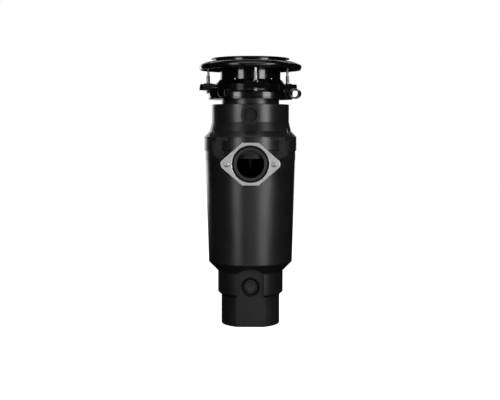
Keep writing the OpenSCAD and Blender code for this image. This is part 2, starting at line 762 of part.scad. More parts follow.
module outer_shell() color("#17171a") difference() {
  turned(concat(
    [[shell_in_low_r, deck_z], [shell_low_r - edge_r, deck_z]],
    arc(shell_low_r - edge_r, deck_z + edge_r, edge_r, -90, 0),
    [[shell_top_r, shell_top_z], [shell_in_top_r, shell_top_z]]));
  front_cut(-far, far) {
    outlet_outline(clear - boss_inset);
    translate([-outlet_screw_at - outlet_end_r, outlet_z])
      square([2 * (outlet_screw_at + outlet_end_r), outlet_drop + 1]);
  }
}

module sound_insulation() color("#4b4d50")
  ring(shell_in_low_r - 0.6, can_r + 0.6, can_z + 3, can_h - 4);

// ---- Drain chamber ----

skirt_step_z = shell_top_z + skirt_low_h;
skirt_deck_t = 3;        // thickness of the deck that rests on the jacket
front_plate_t = 2;       // thickness of the flat plates beside the chamber
groove_w = 2.2;          // width of the groove at each end of the plates

module recess_outline() {
  corner_z = shell_top_z + recess_corner_h;
  slope = outlet_half_h / (outlet_screw_at + outlet_end_r - outlet_flat_half);
  foot = recess_half_w - (recess_corner_h + 1) / slope;
  polygon([[-recess_half_w, rim_z + 1], [-recess_half_w, corner_z], [-foot, shell_top_z - 1],
    [foot, shell_top_z - 1], [recess_half_w, corner_z], [recess_half_w, rim_z + 1]]);
}

module skirt() difference() {
  union() {
    ring(skirt_low_r, skirt_low_r - skirt_wall, shell_top_z, skirt_low_h);
    ring(rim_r, rim_r - skirt_wall - 1.2, skirt_step_z - eps, skirt_top_h + eps);
    ring(skirt_low_r, chamber_r - 1, shell_top_z, skirt_deck_t);
    intersection() {
      translate([0, 0, shell_top_z]) cylinder(h = rim_z - shell_top_z, r = skirt_low_r - eps);
      translate([-far / 2, -far, 0]) cube([far, far - plate_y + front_plate_t, rim_z]);
    }
    around(hopper_screw_angles, hopper_screw_at) translate([0, 0, shell_top_z]) cylinder(h = rim_z - shell_top_z, r = 3.6);
  }
  front_cut(-far, far - plate_y) recess_outline();
  for (s = [-1, 1]) translate([s * (recess_half_w + groove_w / 2 + 0.6) - groove_w / 2, -plate_y - far, shell_top_z + recess_corner_h])
    cube([groove_w, far + 1.5, skirt_top_h + skirt_low_h]);
  translate([0, 0, chamber_top_z]) cylinder(h = far, r = throat_r + 0.4);
  translate([0, 0, shell_top_z - eps]) cylinder(h = far, r = chamber_r - 0.5);
  around(hopper_screw_angles, hopper_screw_at) translate([0, 0, rim_z - 14]) cylinder(h = 20, r = chamber_screw_r);
}

gasket_seat_y = -outlet_face + outlet_plate_t + 1;   // bottom of the groove for the outlet gasket
pipe_end_y = -outlet_face + 1.6;
pad_z = outlet_z + 13.5;                              // underside of the flat pad over the port
pad_y = -chamber_r - 2.3;

module drain_chamber() color("#1b1b1e") difference() {
  union() {
    skirt();
    translate([0, 0, floor_z]) cylinder(h = chamber_top_z - floor_z, r = chamber_r);
    difference() {
      difference() {
        union() {
          front_cut(-outlet_face + outlet_plate_t, outlet_face - outlet_plate_t - chamber_in_r + 14)
            outlet_outline(-boss_inset);
          along_y(pipe_r, pipe_end_y, -pipe_end_y - chamber_in_r + 14, outlet_z);
        }
        cylinder(h = far * 2, r = chamber_r - 0.5);
        translate([0, 0, chamber_top_z]) cylinder(h = far, r = throat_r + 0.4);
      }
      difference() {
        along_y(outlet_hole_r - 0.1, -far, far + gasket_seat_y, outlet_z);
        along_y(pipe_r, -far, far, outlet_z);
      }
      along_y(pipe_bore_r, -far, far + pipe_end_y + pipe_bore_len, outlet_z);
      difference() {
        along_y(pipe_bore_r - 0.5, -far, far, outlet_z);
        translate([0, 0, floor_z]) cylinder(h = far, r = chamber_r);
        translate([-far / 2, pad_y, pad_z]) cube([far, far, far]);
      }
      for (s = [-1, 1]) along_y(chamber_screw_r, -far, far - chamber_r - 0.5, outlet_z, s * outlet_screw_at);
    }
  }
  // inside of the chamber, round the hub and the blind bosses
  difference() {
    translate([0, 0, floor_top_z]) cylinder(h = far, r = chamber_in_r);
    translate([0, 0, floor_z]) cylinder(h = seal_h + floor_t + 3, r = seal_r + 3);
    for (s = [-1, 1]) translate([s * bolt_at, 0, floor_z]) cylinder(h = floor_t + 6, r = bolt_r + 3.5);
  }
  intersection() {
    along_y(port_r, -chamber_r - 6, 20, outlet_z);
    translate([-far / 2, -far, 0]) cube([far, far, outlet_z + port_top]);
  }
  translate([0, 0, floor_z - eps]) cylinder(h = far, r = upper_journal_r + 1.2);
  translate([0, 0, floor_z + 3]) cylinder(h = far, r = seal_r + running);
  for (s = [-1, 1]) translate([s * bolt_at, 0, floor_z - eps]) cylinder(h = floor_t + 4.2, r = bolt_r + running);
}

module shaft_seal() color("#2f2f32") ring(seal_r, upper_journal_r + running, floor_z + 3, seal_h);

module outlet_gasket() color("#0c0c0d") difference() {
  along_y(outlet_hole_r - 0.25, gasket_seat_y - 1.4, 1.4, outlet_z);
  along_y(pipe_r + 0.1, -far, far, outlet_z);
}

module outlet_flange() color("#b4b6b8") difference() {
  front_cut(-outlet_face, outlet_plate_t) outlet_outline(0);
  along_y(outlet_hole_r, -far, far, outlet_z);
  for (s = [-1, 1]) along_y(chamber_screw_r + 0.3, -far, far, outlet_z, s * outlet_screw_at);
}

module outlet_screws() color("#c4c7cb") for (s = [-1, 1]) {
  pan_r = 3.9;
  difference() {
    along_y(pan_r, -outlet_face - 2.4, 2.4, outlet_z, s * outlet_screw_at);
    translate([s * outlet_screw_at - 2.6, -outlet_face - 2.4 - eps, outlet_z - 0.5]) cube([5.2, 1, 1]);
    translate([s * outlet_screw_at - 0.5, -outlet_face - 2.4 - eps, outlet_z - 2.6]) cube([1, 1, 5.2]);
  }
  along_y(chamber_screw_r - running, -outlet_face - eps, 11, outlet_z, s * outlet_screw_at);
}

module hopper_seal() color("#0f0f10") ring(chamber_r, chamber_in_r, chamber_top_z, seal_gasket_t);

// ---- Hopper ----

seat_z = rim_z + rim_h + 1.5;   // seat of the hopper screws' heads

module hopper() color("#17171a") difference() {
  union() {
    difference() {
      turned(concat(
        [[throat_in_r, joint_z], [throat_r, joint_z], [throat_r, rim_z]],
        [[rim_r, rim_z], [rim_r, shoulder_z - 0.5]], [[rim_r - 0.5, shoulder_z]],
        [[shoulder_r, throat_cone_z], [throat_r, throat_z]],
        arc(throat_r - edge_r, neck_z - edge_r, edge_r, 0, 90),
        [[neck_r, neck_z], [neck_r, lip_z], [lip_r, lip_z]],
        [[lip_r, cushion_z], [neck_in_r, cushion_z], [neck_in_r, neck_z - hopper_wall]],
        [[throat_in_r, neck_z - hopper_wall]]));
      // the rim is cut flat in front, but not the chamber behind it
      difference() {
        translate([-far / 2, -far, rim_z - eps]) cube([far, far - rim_cut_y, rim_h + eps]);
        cylinder(h = far * 2, r = throat_r);
      }
    }
    difference() {
      union() {
        along_y(inlet_r, -inlet_face, inlet_face - throat_in_r + 4, inlet_z);
        along_y(inlet_r + 1.1, stub_len - inlet_face, inlet_face - stub_len - throat_in_r + 4, inlet_z);
      }
      cylinder(h = far * 2, r = throat_in_r + 0.5);
    }
  }
  along_y(inlet_bore_r, -inlet_face - eps, inlet_face - throat_in_r + 12, inlet_z);
  around(hopper_screw_angles, hopper_screw_at) {
    translate([0, 0, rim_z - eps]) cylinder(h = far, r = chamber_screw_r + 0.3);
    translate([0, 0, seat_z]) cylinder(h = far, r = 4.4);
  }
}

module hopper_screws() color("#8b8e93") around(hopper_screw_angles, hopper_screw_at) {
  translate([0, 0, seat_z]) difference() {
    cylinder(h = 2.6, r = 3.6);
    translate([-2.2, -0.4, 1.6]) cube([4.4, 0.8, 2]);
    translate([-0.4, -2.2, 1.6]) cube([0.8, 4.4, 2]);
  }
  translate([0, 0, rim_z - 12]) cylinder(h = seat_z - rim_z + 12 + eps, r = chamber_screw_r - running);
}

module dishwasher_knockout() color("#1b1b1e") {
  along_y(inlet_bore_r - running, -inlet_face + plug_set, 1.6, inlet_z);
}

// ---- Grinding parts ----

module grind_ring() color("#b9bcc0") difference() {
  ring(ring_out_r, ring_in_r, joint_z, ring_h);
  for (i = [0 : ring_slots - 1]) rotate(i * 360 / ring_slots)
    translate([ring_in_r - 1, -1.8, joint_z + 2]) cube([2.4, 3.6, 8]);
}

module grinding_disc() color("#b9bcc0") difference() {
  translate([0, 0, disc_z]) cylinder(h = disc_t, r = disc_r);
  translate([0, 0, disc_z - eps]) cylinder(h = disc_t + 2 * eps, r = lower_journal_r + running);
  for (s = [-1, 1]) translate([s * pin_at, 0, disc_z - eps]) cylinder(h = disc_t + 2 * eps, r = pin_r + running);
  for (i = [0 : 11]) rotate(15 + i * 30) {
    translate([disc_r - 5, 0, disc_z - eps]) cylinder(h = disc_t + 2 * eps, r = 2.4);
    translate([disc_r - 28, 0, disc_z - eps]) cylinder(h = disc_t + 2 * eps, r = 1.8);
  }
}

pin_top_z = disc_top_z + 0.3 + impeller_t + 0.3;
module impeller_pins() color("#a7abb0") for (s = [-1, 1]) translate([s * pin_at, 0, 0]) {
  translate([0, 0, disc_z - 1.4]) cylinder(h = 1.4, r = pin_r + 1.5);
  translate([0, 0, disc_z - 0.1]) cylinder(h = pin_top_z - disc_z + 0.2, r = pin_r);
  translate([0, 0, pin_top_z]) cylinder(h = 1.4, r = pin_r + 2);
}

module disc_nut() color("#c4c7cb") difference() {
  translate([0, 0, disc_top_z]) cylinder(h = nut_h, r = nut_r, $fn = 6);
  translate([0, 0, disc_z]) cylinder(h = far, r = lower_journal_r + running);
}

// One swivelling lug, drawn with its pin on the axis and its nose towards +X
module impeller() {
  nose = impeller_reach - impeller_half_w;
  difference() {
    union() {
      cylinder(h = impeller_t, r = impeller_half_w + 1);
      translate([0, -impeller_half_w, 0]) cube([nose, 2 * impeller_half_w, impeller_t]);
      translate([nose, 0, 0]) cylinder(h = impeller_t, r = impeller_half_w);
      intersection() {
        translate([nose, 0, 0]) cylinder(h = impeller_t + 5, r = impeller_half_w);
        translate([nose, -far / 2, 0]) cube([far, far, far]);
      }
    }
    translate([0, 0, -eps]) cylinder(h = impeller_t + 2 * eps, r = pin_r + running);
  }
}
module impeller_a() color("#a7abb0") translate([pin_at, 0, disc_top_z + 0.3]) impeller();
module impeller_b() color("#a7abb0") translate([-pin_at, 0, disc_top_z + 0.3]) rotate(180) impeller();

// ---- Sink mount ----

guard_r = sleeve_in_r - 0.6;
guard_z = sleeve_z;
module mounting_cushion() color("#121214") turned([
  [guard_r - 4, cushion_z], [collar_low_r - collar_wall - 0.6, cushion_z],
  [collar_low_r - collar_wall - 0.6, sleeve_z - 1], [sleeve_r + 1.4, sleeve_z], [guard_r - 4, sleeve_z]]);

// A sector of a ring, half_a degrees to each side of the front
module sector(r_out, r_in, from_z, h, half_a)
  rotate(-90 - half_a) translate([0, 0, from_z]) rotate_extrude(angle = 2 * half_a)
    translate([r_in, 0]) square([r_out - r_in, h]);

module lower_mounting_ring() color("#101012") difference() {
  in_r = turn_ring_r - turn_sheet;
  union() {
    turned([
      [neck_r + 0.6, turn_z], [turn_ring_r + 0.7, turn_z], [turn_ring_r + 0.7, turn_z + 1.4],
      [turn_ring_r, turn_z + 2.1], [turn_ring_r, turn_z + turn_ring_h], [in_r, turn_z + turn_ring_h],
      [in_r, turn_z + turn_sheet], [neck_r + 0.6, turn_z + turn_sheet]]);
    for (a = ear_angles) rotate(a) {
      hook();
      translate([-ear_len / 2, -ear_at, ear_z]) rotate([0, 90, 0]) cylinder(h = ear_len, r = ear_r);
    }
  }
  for (a = ear_angles) rotate(a) translate([-ear_len, -ear_at, ear_z]) rotate([0, 90, 0])
    cylinder(h = 2 * ear_len, r = ear_bore_r);
}

// Hook of the turning ring, in front of the axis: it rises inside the wall and reaches over a track
module hook() rotate(-90 - hook_half) rotate_extrude(angle = 2 * hook_half) polygon([
  [turn_ring_r - turn_sheet + 0.2, turn_z + turn_ring_h - 1.5], [turn_ring_r - 0.2, turn_z + turn_ring_h - 1.5],
  [turn_ring_r - 0.2, hook_top_z], [collar_low_r + 3.4, hook_top_z], [collar_low_r + 3.4, hook_lip_z],
  [turn_ring_r - turn_sheet + 0.2, hook_lip_z]]);
ear_z = turn_z + ear_r + 0.5;

module upper_mounting_ring() color("#101012") difference() {
  union() {
    turned([
      [collar_low_r - collar_wall, collar_z], [collar_low_r, collar_z], [collar_r, collar_top_z],
      [lip_in_r + 1.2, collar_cone_z], [lip_in_r, collar_cone_z], [lip_in_r, collar_cone_z - 1.3],
      [lip_in_r + 1.4, collar_cone_z - 1.3],
      [collar_r - collar_wall, collar_top_z - 0.8]]);
    for (a = ear_angles) rotate(a) sector(track_r, collar_low_r - 1, collar_z, track_top_z - collar_z, track_half);
    for (a = lug_angles) rotate(a) lug();
  }
  around(lug_angles, lug_at) cylinder(h = far * 2, r = screw_r + running);
  around(snap_angles, sleeve_r + 1.3) cylinder(h = far * 2, r = 1.2);
}
lip_in_r = sleeve_r + 0.5;   // inner radius of the collar's top lip
snap_angles = [-28.5, 41.5]; // ends of the snap ring, from the front towards +X

// One threaded lug in front of the axis
module lug() {
  boss_r = 6.4;
  web = 2.2;
  difference() {
    union() {
      translate([-lug_w / 2, -lug_at, lug_z]) cube([lug_w, lug_at - collar_r + 2, web]);
      for (s = [-1, 1]) translate([s * (lug_w / 2 - web / 2) - web / 2, -lug_at, lug_z])
        cube([web, lug_at - collar_r + 2, lug_h]);
      translate([0, -lug_at, lug_z]) cylinder(h = lug_h + 1.5, r = boss_r);
      intersection() {
        translate([0, -lug_at, lug_z]) cylinder(h = lug_h, r = lug_w / 2);
        difference() {
          rotate([90, 0, 90]) translate([0, 0, -lug_w / 2]) linear_extrude(lug_w) polygon([
            [-lug_end, lug_z], [-lug_at + eps, lug_z], [-lug_at + eps, lug_z + lug_h],
            [-lug_end + lug_lean, lug_z + lug_h]]);
          translate([-lug_w / 2 + web, -lug_end + lug_lean + web, lug_z + web]) cube([lug_w - 2 * web, far, lug_h]);
        }
      }
    }
    cylinder(h = far * 2, r = collar_r - collar_wall / 2 - 0.3);
  }
}

module snap_ring() color("#c4c7cb") {
  ring_at = sleeve_r + 0.25;
  rotate(snap_angles[1] - 90) translate([0, 0, snap_z])
    rotate_extrude(angle = 360 - snap_angles[1] + snap_angles[0])
      translate([ring_at, 0]) circle(r = snap_wire_r, $fn = 24);
  around(snap_angles, sleeve_r + 1.3) translate([0, 0, snap_z]) cylinder(h = collar_cone_z - snap_z + 0.8, r = 0.9);
}
snap_z = collar_cone_z - 1.3 - snap_wire_r - 0.15;

screw_low_z = lug_z - 4.4;
module mounting_screws() color("#c4c7cb") around(lug_angles, lug_at) difference() {
  union() {
    translate([0, 0, screw_low_z]) cylinder(h = screw_len, r = screw_r);
    translate([0, 0, screw_low_z + screw_len - eps])
      cylinder(h = support_tip_z - screw_low_z - screw_len, r = screw_tip_r);
  }
  translate([-screw_r, -0.5, screw_low_z - eps]) cube([2 * screw_r, 1, 1.6]);
}
support_tip_z = support_top_z - support_sheet - 3;

module sink_flange() color("#0b0b0c") difference() {
  turned(concat(
    [[sleeve_in_r, sleeve_z], [sleeve_r, sleeve_z], [sleeve_r, flange_z]],
    [[flange_r - 0.6, flange_z], [flange_r, flange_z + 0.7], [flange_r, flange_z + 0.9]],
    [[flange_r - 1.5, flange_z + flange_t]],
    [[sleeve_r + 6, flange_z + flange_t - 0.3], [sleeve_r + 1, flange_z + flange_t - 0.6]],
    [[sleeve_in_r + 0.4, flange_z + 0.2], [sleeve_in_r, flange_z - 0.8]]));
  // groove for the snap ring
  ring(sleeve_r + 1, sleeve_r - 0.9, snap_z - snap_wire_r - 0.1, 2 * snap_wire_r + 0.2);
}

module flange_gasket() color("#0d0d0e") ring(gasket_r, sleeve_r + 0.3, support_top_z, gasket_t);

module support_ring() color("#101012") {
  outer_drop = support_h - 6;                   // height of the widest point above the rim's bottom
  low_z = support_top_z - support_h;
  wide_z = low_z + outer_drop;
  turned([
    [sleeve_r + 0.4, support_top_z - support_sheet], [sleeve_r + 0.4, support_top_z],
    [support_flat_r, support_top_z], [support_flat_r + 3.4, support_top_z - 0.9],
    [support_flat_r + 7.4, support_top_z - 2.8], [support_r - 0.9, wide_z + 1.6], [support_r, wide_z],
    [support_r, wide_z - 1], [support_r - 1.2, low_z], [support_r - 1.2 - support_sheet, low_z],
    [support_r - support_sheet, wide_z - 0.6], [support_flat_r + 6.4, support_top_z - 2.8 - support_sheet],
    [support_flat_r + 2.6, support_top_z - 0.9 - support_sheet],
    [support_flat_r - 0.6, support_top_z - support_sheet]]);
}

module splash_guard() color("#1a1a1c") difference() {
  union() {
    ring(guard_r, guard_r - 2.4, guard_z, guard_h);
    translate([0, 0, guard_z]) cylinder(h = 2.2, r = guard_r);
  }
  translate([0, 0, guard_z - eps]) cylinder(h = 3, r = guard_hole_r);
  for (i = [0 : 7]) rotate(22.5 + i * 45) translate([guard_hole_r - 1, -0.5, guard_z - eps]) cube([guard_r - guard_hole_r - 7, 1, 3]);
}

// ---- Output ----

base_housing();
base_cover();
base_screws();
ground_screw();
overload_protector();
reset_button();
reset_spring();
circuit_board();
bridge_rectifier();
outer_shell();
sound_insulation();
end_bell();
lower_bearing();
housing_screws();
brush_holders();
brushes();
brush_springs();
motor_can();
magnets();
through_bolts();
upper_end_bell();
upper_bearing();
motor_shaft();
armature_core();
armature_windings();
commutator();
drain_chamber();
shaft_seal();
outlet_gasket();
outlet_flange();
outlet_screws();
hopper_seal();
hopper();
hopper_screws();
dishwasher_knockout();
grind_ring();
grinding_disc();
impeller_pins();
disc_nut();
impeller_a();
impeller_b();
mounting_cushion();
lower_mounting_ring();
upper_mounting_ring();
snap_ring();
mounting_screws();
sink_flange();
flange_gasket();
support_ring();
splash_guard();
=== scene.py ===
import math
import bmesh
import bpy
from mathutils import Matrix, Vector


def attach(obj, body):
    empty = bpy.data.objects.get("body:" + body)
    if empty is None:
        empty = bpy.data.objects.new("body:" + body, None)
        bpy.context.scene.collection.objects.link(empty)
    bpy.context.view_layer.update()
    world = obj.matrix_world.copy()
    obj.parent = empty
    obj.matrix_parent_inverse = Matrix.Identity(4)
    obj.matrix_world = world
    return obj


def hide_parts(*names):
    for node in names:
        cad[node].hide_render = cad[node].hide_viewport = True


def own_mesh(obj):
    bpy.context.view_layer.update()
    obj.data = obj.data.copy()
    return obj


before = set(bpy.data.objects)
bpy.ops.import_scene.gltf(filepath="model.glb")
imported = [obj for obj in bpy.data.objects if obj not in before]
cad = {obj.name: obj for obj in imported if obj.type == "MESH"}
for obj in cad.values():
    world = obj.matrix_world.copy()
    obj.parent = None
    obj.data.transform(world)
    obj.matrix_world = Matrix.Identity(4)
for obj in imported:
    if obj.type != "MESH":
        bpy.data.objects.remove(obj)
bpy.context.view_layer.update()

# ---------------------------------------------------------------------------
# Motor base: an injection-moulded cup of black glass-filled nylon, stepped twice, with a flat
# and a round-headed niche on the front. A flat cover closes the bottom and is held by three
# plated screws, with a green earth screw beside the cable hole.
# ---------------------------------------------------------------------------

def begin_finish(name):
    """A new finish, with its node tree and its shader."""
    finish = bpy.data.materials.new(name)
    finish.use_nodes = True
    tree = finish.node_tree
    return finish, tree, tree.nodes["Principled BSDF"]


def grain(tree, scale, detail=3.0, rough=0.5):
    """Cloudy noise that stays fixed to the piece, finer as the scale grows."""
    place = tree.nodes.new("ShaderNodeTexCoord")
    noise = tree.nodes.new("ShaderNodeTexNoise")
    noise.inputs["Scale"].default_value = scale
    noise.inputs["Detail"].default_value = detail
    noise.inputs["Roughness"].default_value = rough
    tree.links.new(place.outputs["Object"], noise.inputs["Vector"])
    return noise.outputs["Fac"]


def spread(tree, value, low, high, from_low=0.3, from_high=0.7):
    """Maps what the value is, between from_low and from_high, onto low to high."""
    ramp = tree.nodes.new("ShaderNodeMapRange")
    ramp.inputs["From Min"].default_value = from_low
    ramp.inputs["From Max"].default_value = from_high
    ramp.inputs["To Min"].default_value = low
    ramp.inputs["To Max"].default_value = high
    tree.links.new(value, ramp.inputs["Value"])
    return ramp.outputs["Result"]


def combine(tree, operation, first, second):
    """Works two values into one."""
    both = tree.nodes.new("ShaderNodeMath")
    both.operation = operation
    tree.links.new(first, both.inputs[0])
    tree.links.new(second, both.inputs[1])
    return both.outputs["Value"]


def worn_edges(tree, radius, amount):
    """Softened corners, and how rubbed they are, from 0 to amount, in patches and not in an even line."""
    edge = tree.nodes.new("ShaderNodeBevel")
    edge.samples = 4
    edge.inputs["Radius"].default_value = radius
    face = tree.nodes.new("ShaderNodeNewGeometry")
    turn = tree.nodes.new("ShaderNodeVectorMath")
    turn.operation = "DOT_PRODUCT"
    tree.links.new(edge.outputs["Normal"], turn.inputs[0])
    tree.links.new(face.outputs["Normal"], turn.inputs[1])
    corner = spread(tree, turn.outputs["Value"], amount, 0.0, from_low=0.80, from_high=0.97)
    patches = spread(tree, grain(tree, scale=160.0, detail=4.0), 0.25, 1.0, from_low=0.35, from_high=0.65)
    return edge.outputs["Normal"], combine(tree, "MULTIPLY", corner, patches)


def relief(tree, height, strength, depth, under=None):
    """Fine bumps of a depth in metres, laid over the normal under them."""
    bump = tree.nodes.new("ShaderNodeBump")
    bump.inputs["Strength"].default_value = strength
    bump.inputs["Distance"].default_value = depth
    tree.links.new(height, bump.inputs["Height"])
    if under is not None:
        tree.links.new(under, bump.inputs["Normal"])
    return bump.outputs["Normal"]


def tint(tree, amount, first, second):
    """The first colour where the amount is 0 and the second where it is 1."""
    mix = tree.nodes.new("ShaderNodeMix")
    mix.data_type = "RGBA"
    tree.links.new(amount, mix.inputs["Factor"])
    for socket, colour in ((mix.inputs[6], first), (mix.inputs[7], second)):
        if isinstance(colour, tuple):
            socket.default_value = (*colour, 1.0)
        else:
            tree.links.new(colour, socket)
    return mix.outputs[2]


def plug_in(tree, shader, colour, dullness, normal):
    """Gives the shader its colour, its dullness and its relief."""
    tree.links.new(colour, shader.inputs["Base Color"])
    tree.links.new(dullness, shader.inputs["Roughness"])
    tree.links.new(normal, shader.inputs["Normal"])


def moulded_plastic(name, colour, dullness, pebble=0.10, lift=2.6, texture=1500.0):
    """Moulded plastic: fine spark-eroded texture, cloudy sheen and corners rubbed a little lighter."""
    finish, tree, shader = begin_finish(name)
    pale = tuple(min(1.0, c * lift) for c in colour)
    rubbed_pale = tuple(c * 1.6 for c in pale)
    clouds = grain(tree, scale=22.0, detail=4.0)
    pebbles = grain(tree, scale=texture, detail=2.0)
    corner, rubbed = worn_edges(tree, radius=0.00025, amount=0.7)
    cloudy = tint(tree, spread(tree, clouds, 0.0, 0.35), colour, pale)
    plug_in(tree, shader,
            tint(tree, rubbed, cloudy, rubbed_pale),
            spread(tree, clouds, dullness - 0.035, dullness + 0.035),
            relief(tree, pebbles, pebble, depth=0.00004, under=corner))
    return finish


def plated_metal(name, colour, dullness, tarnish, edge=0.0002, streaks=260.0):
    """Bright plated steel: faint draw marks, slightly milky plating and brighter corners."""
    finish, tree, shader = begin_finish(name)
    bright = (0.86, 0.86, 0.85)
    milk = grain(tree, scale=420.0, detail=5.0)
    marks = grain(tree, scale=streaks, detail=6.0, rough=0.7)
    corner, rubbed = worn_edges(tree, edge, amount=0.8)
    plating = tint(tree, spread(tree, milk, 0.0, 0.8), colour, tarnish)
    plug_in(tree, shader,
            tint(tree, rubbed, plating, bright),
            spread(tree, marks, dullness - 0.06, dullness + 0.08),
            relief(tree, marks, strength=0.08, depth=0.00002, under=corner))
    shader.inputs["Metallic"].default_value = 1.0
    return finish


def dress(finish, *nodes):
    """Puts the finish on CAD nodes that keep their own shape."""
    for node in nodes:
        slots = cad[node].data.materials
        slots.clear()
        slots.append(finish)


black_nylon = moulded_plastic("black_nylon", (0.0125, 0.0125, 0.0135), 0.34)
cover_nylon = moulded_plastic("cover_nylon", (0.022, 0.022, 0.024), 0.52, pebble=0.22, texture=900.0)
zinc_plate = plated_metal("zinc_plate", (0.66, 0.67, 0.68), 0.26, (0.46, 0.47, 0.49))
green_earth_paint = moulded_plastic("green_earth_paint", (0.02, 0.16, 0.045), 0.34, lift=1.5)
dress(black_nylon, "base_housing")
dress(cover_nylon, "base_cover")
dress(zinc_plate, "base_screws", "housing_screws")
dress(green_earth_paint, "ground_screw")

# ---------------------------------------------------------------------------
# Overload protector: a black switch body behind the niche. Its button has a dished round face
# and slides in the snout, with a coil spring of drawn wire behind it.
# ---------------------------------------------------------------------------

def rounded(corners, steps):
    """A closed outline whose corners, given as (x, y, cut), are each rounded over that cut."""
    outline = []
    for i, (x, y, cut) in enumerate(corners):
        here = Vector((x, y))
        before = Vector(corners[i - 1][:2]) - here
        after = Vector(corners[(i + 1) % len(corners)][:2]) - here
        if not cut:
            outline.append(here)
            continue
        reach = min(cut, before.length / 2.1, after.length / 2.1)
        start = here + before.normalized() * reach
        end = here + after.normalized() * reach
        for k in range(steps + 1):
            t = k / steps
            outline.append(start * (1 - t) ** 2 + here * 2 * t * (1 - t) + end * t * t)
    return outline


def keep(name, shape, sharp=34.0):
    """Makes an object of a bmesh, smooth apart from the edges sharper than an angle in degrees."""
    bmesh.ops.remove_doubles(shape, verts=shape.verts, dist=1e-7)
    bmesh.ops.recalc_face_normals(shape, faces=shape.faces)
    mesh = bpy.data.meshes.new(name)
    shape.to_mesh(mesh)
    shape.free()
    for face in mesh.polygons:
        face.use_smooth = True
    mesh.set_sharp_from_angle(angle=math.radians(sharp))
    piece = bpy.data.objects.new(name, mesh)
    bpy.context.scene.collection.objects.link(piece)
    piece.modifiers.new("even_shading", "WEIGHTED_NORMAL").keep_sharp = True
    return piece


def turned(name, outline, sides):
    """Turns an outline, given in millimetres as radius and height, round the axis."""
    shape = bmesh.new()
    corners = [shape.verts.new((x / 1000, 0.0, z / 1000)) for x, z in outline]
    edges = [shape.edges.new((corners[i - 1], corners[i])) for i in range(len(corners))]
    bmesh.ops.spin(shape, geom=corners + edges, axis=(0, 0, 1), cent=(0, 0, 0),
                   angle=2 * math.pi, steps=sides, use_merge=True)
    return keep(name, shape)


def skinned(name, rings, sharp=34.0):
    """Joins rings of points, given in millimetres, into one skin that is closed at both ends."""
    shape = bmesh.new()
    made = [[shape.verts.new([c / 1000 for c in point]) for point in ring] for ring in rings]
    for first, second in zip(made, made[1:]):
        for k in range(len(first)):
            shape.faces.new((first[k - 1], first[k], second[k], second[k - 1]))
    shape.faces.new(made[0])
    shape.faces.new(made[-1])
    return keep(name, shape, sharp)


def facing_front(x, y, z):
    """Stands a piece that was made face up so that it faces the front, at a place in millimetres."""
    return Matrix.Translation((x / 1000, y / 1000, z / 1000)) @ Matrix.Rotation(math.radians(90), 4, "X")


def stands_for(piece, finish, body, slot, *nodes):
    """Finishes a piece that takes the place of CAD nodes on a body."""
    piece.data.materials.clear()
    piece.data.materials.append(finish)
    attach(piece, body)
    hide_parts(*nodes)
    return piece


switch_body_black = moulded_plastic("switch_body_black", (0.016, 0.016, 0.017), 0.45)
dress(switch_body_black, "overload_protector")

# the cap's stem slides in the snout, and the collar behind it stops it from falling out
button_black = moulded_plastic("button_black", (0.024, 0.024, 0.025), 0.36, pebble=0.05, lift=1.8)
button_z, button_front = 57.8, -37.1
stem_r, stem_len = 6.75, 11.9
collar_r, collar_back = 8.1, 13.8
dish_r, dish_deep = 4.2, 0.35
press_cap = turned("press_cap", rounded([
    (0.0, -collar_back, 0), (collar_r, -collar_back, 0.4), (collar_r, -stem_len, 0.4),
    (stem_r, -stem_len, 0.3), (stem_r, 0.0, 0.9), (dish_r, -0.05, 1.2), (0.0, -dish_deep, 0)], 6), 96)
press_cap.data.transform(facing_front(0.0, button_front, button_z))
stands_for(press_cap, button_black, "button", "button_plastic", "reset_button")

# the spring is coiled here from drawn wire; on the real switch it shortens as the button is pressed 3 mm
spring_wire = plated_metal("spring_wire", (0.55, 0.56, 0.58), 0.22, (0.40, 0.41, 0.43))
coil_r, wire_r = 5.0, 0.5
spring_front, spring_back = -23.2, -13.4
turns, steps, sides = 5, 28, 10
coil = []
for i in range(turns * steps + 1):
    a = 2 * math.pi * i / steps
    y = spring_front + wire_r + (spring_back - spring_front - 2 * wire_r) * i / (turns * steps)
    ring = []
    for k in range(sides):
        w = 2 * math.pi * k / sides
        r = coil_r + wire_r * math.cos(w)
        ring.append((r * math.cos(a), y + wire_r * math.sin(w), button_z + r * math.sin(a)))
    coil.append(ring)
spring = stands_for(skinned("button_spring", coil), spring_wire, "housing", "spring_steel", "reset_spring")
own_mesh(spring)

# ---------------------------------------------------------------------------
# Motor and its control, all hidden inside: cast end bells, rolled steel can with ferrite
# magnets, laminated core with enamelled copper windings, commutator, brushes in phenolic
# holders, ball bearings, a green board with its rectifier and a grey felt wrap.
# ---------------------------------------------------------------------------

def cast_metal(name, colour, dullness):
    """Cast or sintered metal: a sandy skin with darker stains."""
    finish, tree, shader = begin_finish(name)
    stained = tuple(c * 0.7 for c in colour)
    sand = grain(tree, scale=900.0, detail=6.0, rough=0.65)
    stain = grain(tree, scale=40.0, detail=3.0)
    plug_in(tree, shader,
            tint(tree, spread(tree, stain, 0.0, 1.0), stained, colour),
            spread(tree, sand, dullness - 0.08, dullness + 0.08),
            relief(tree, sand, strength=0.35, depth=0.00008))
    shader.inputs["Metallic"].default_value = 1.0
    return finish


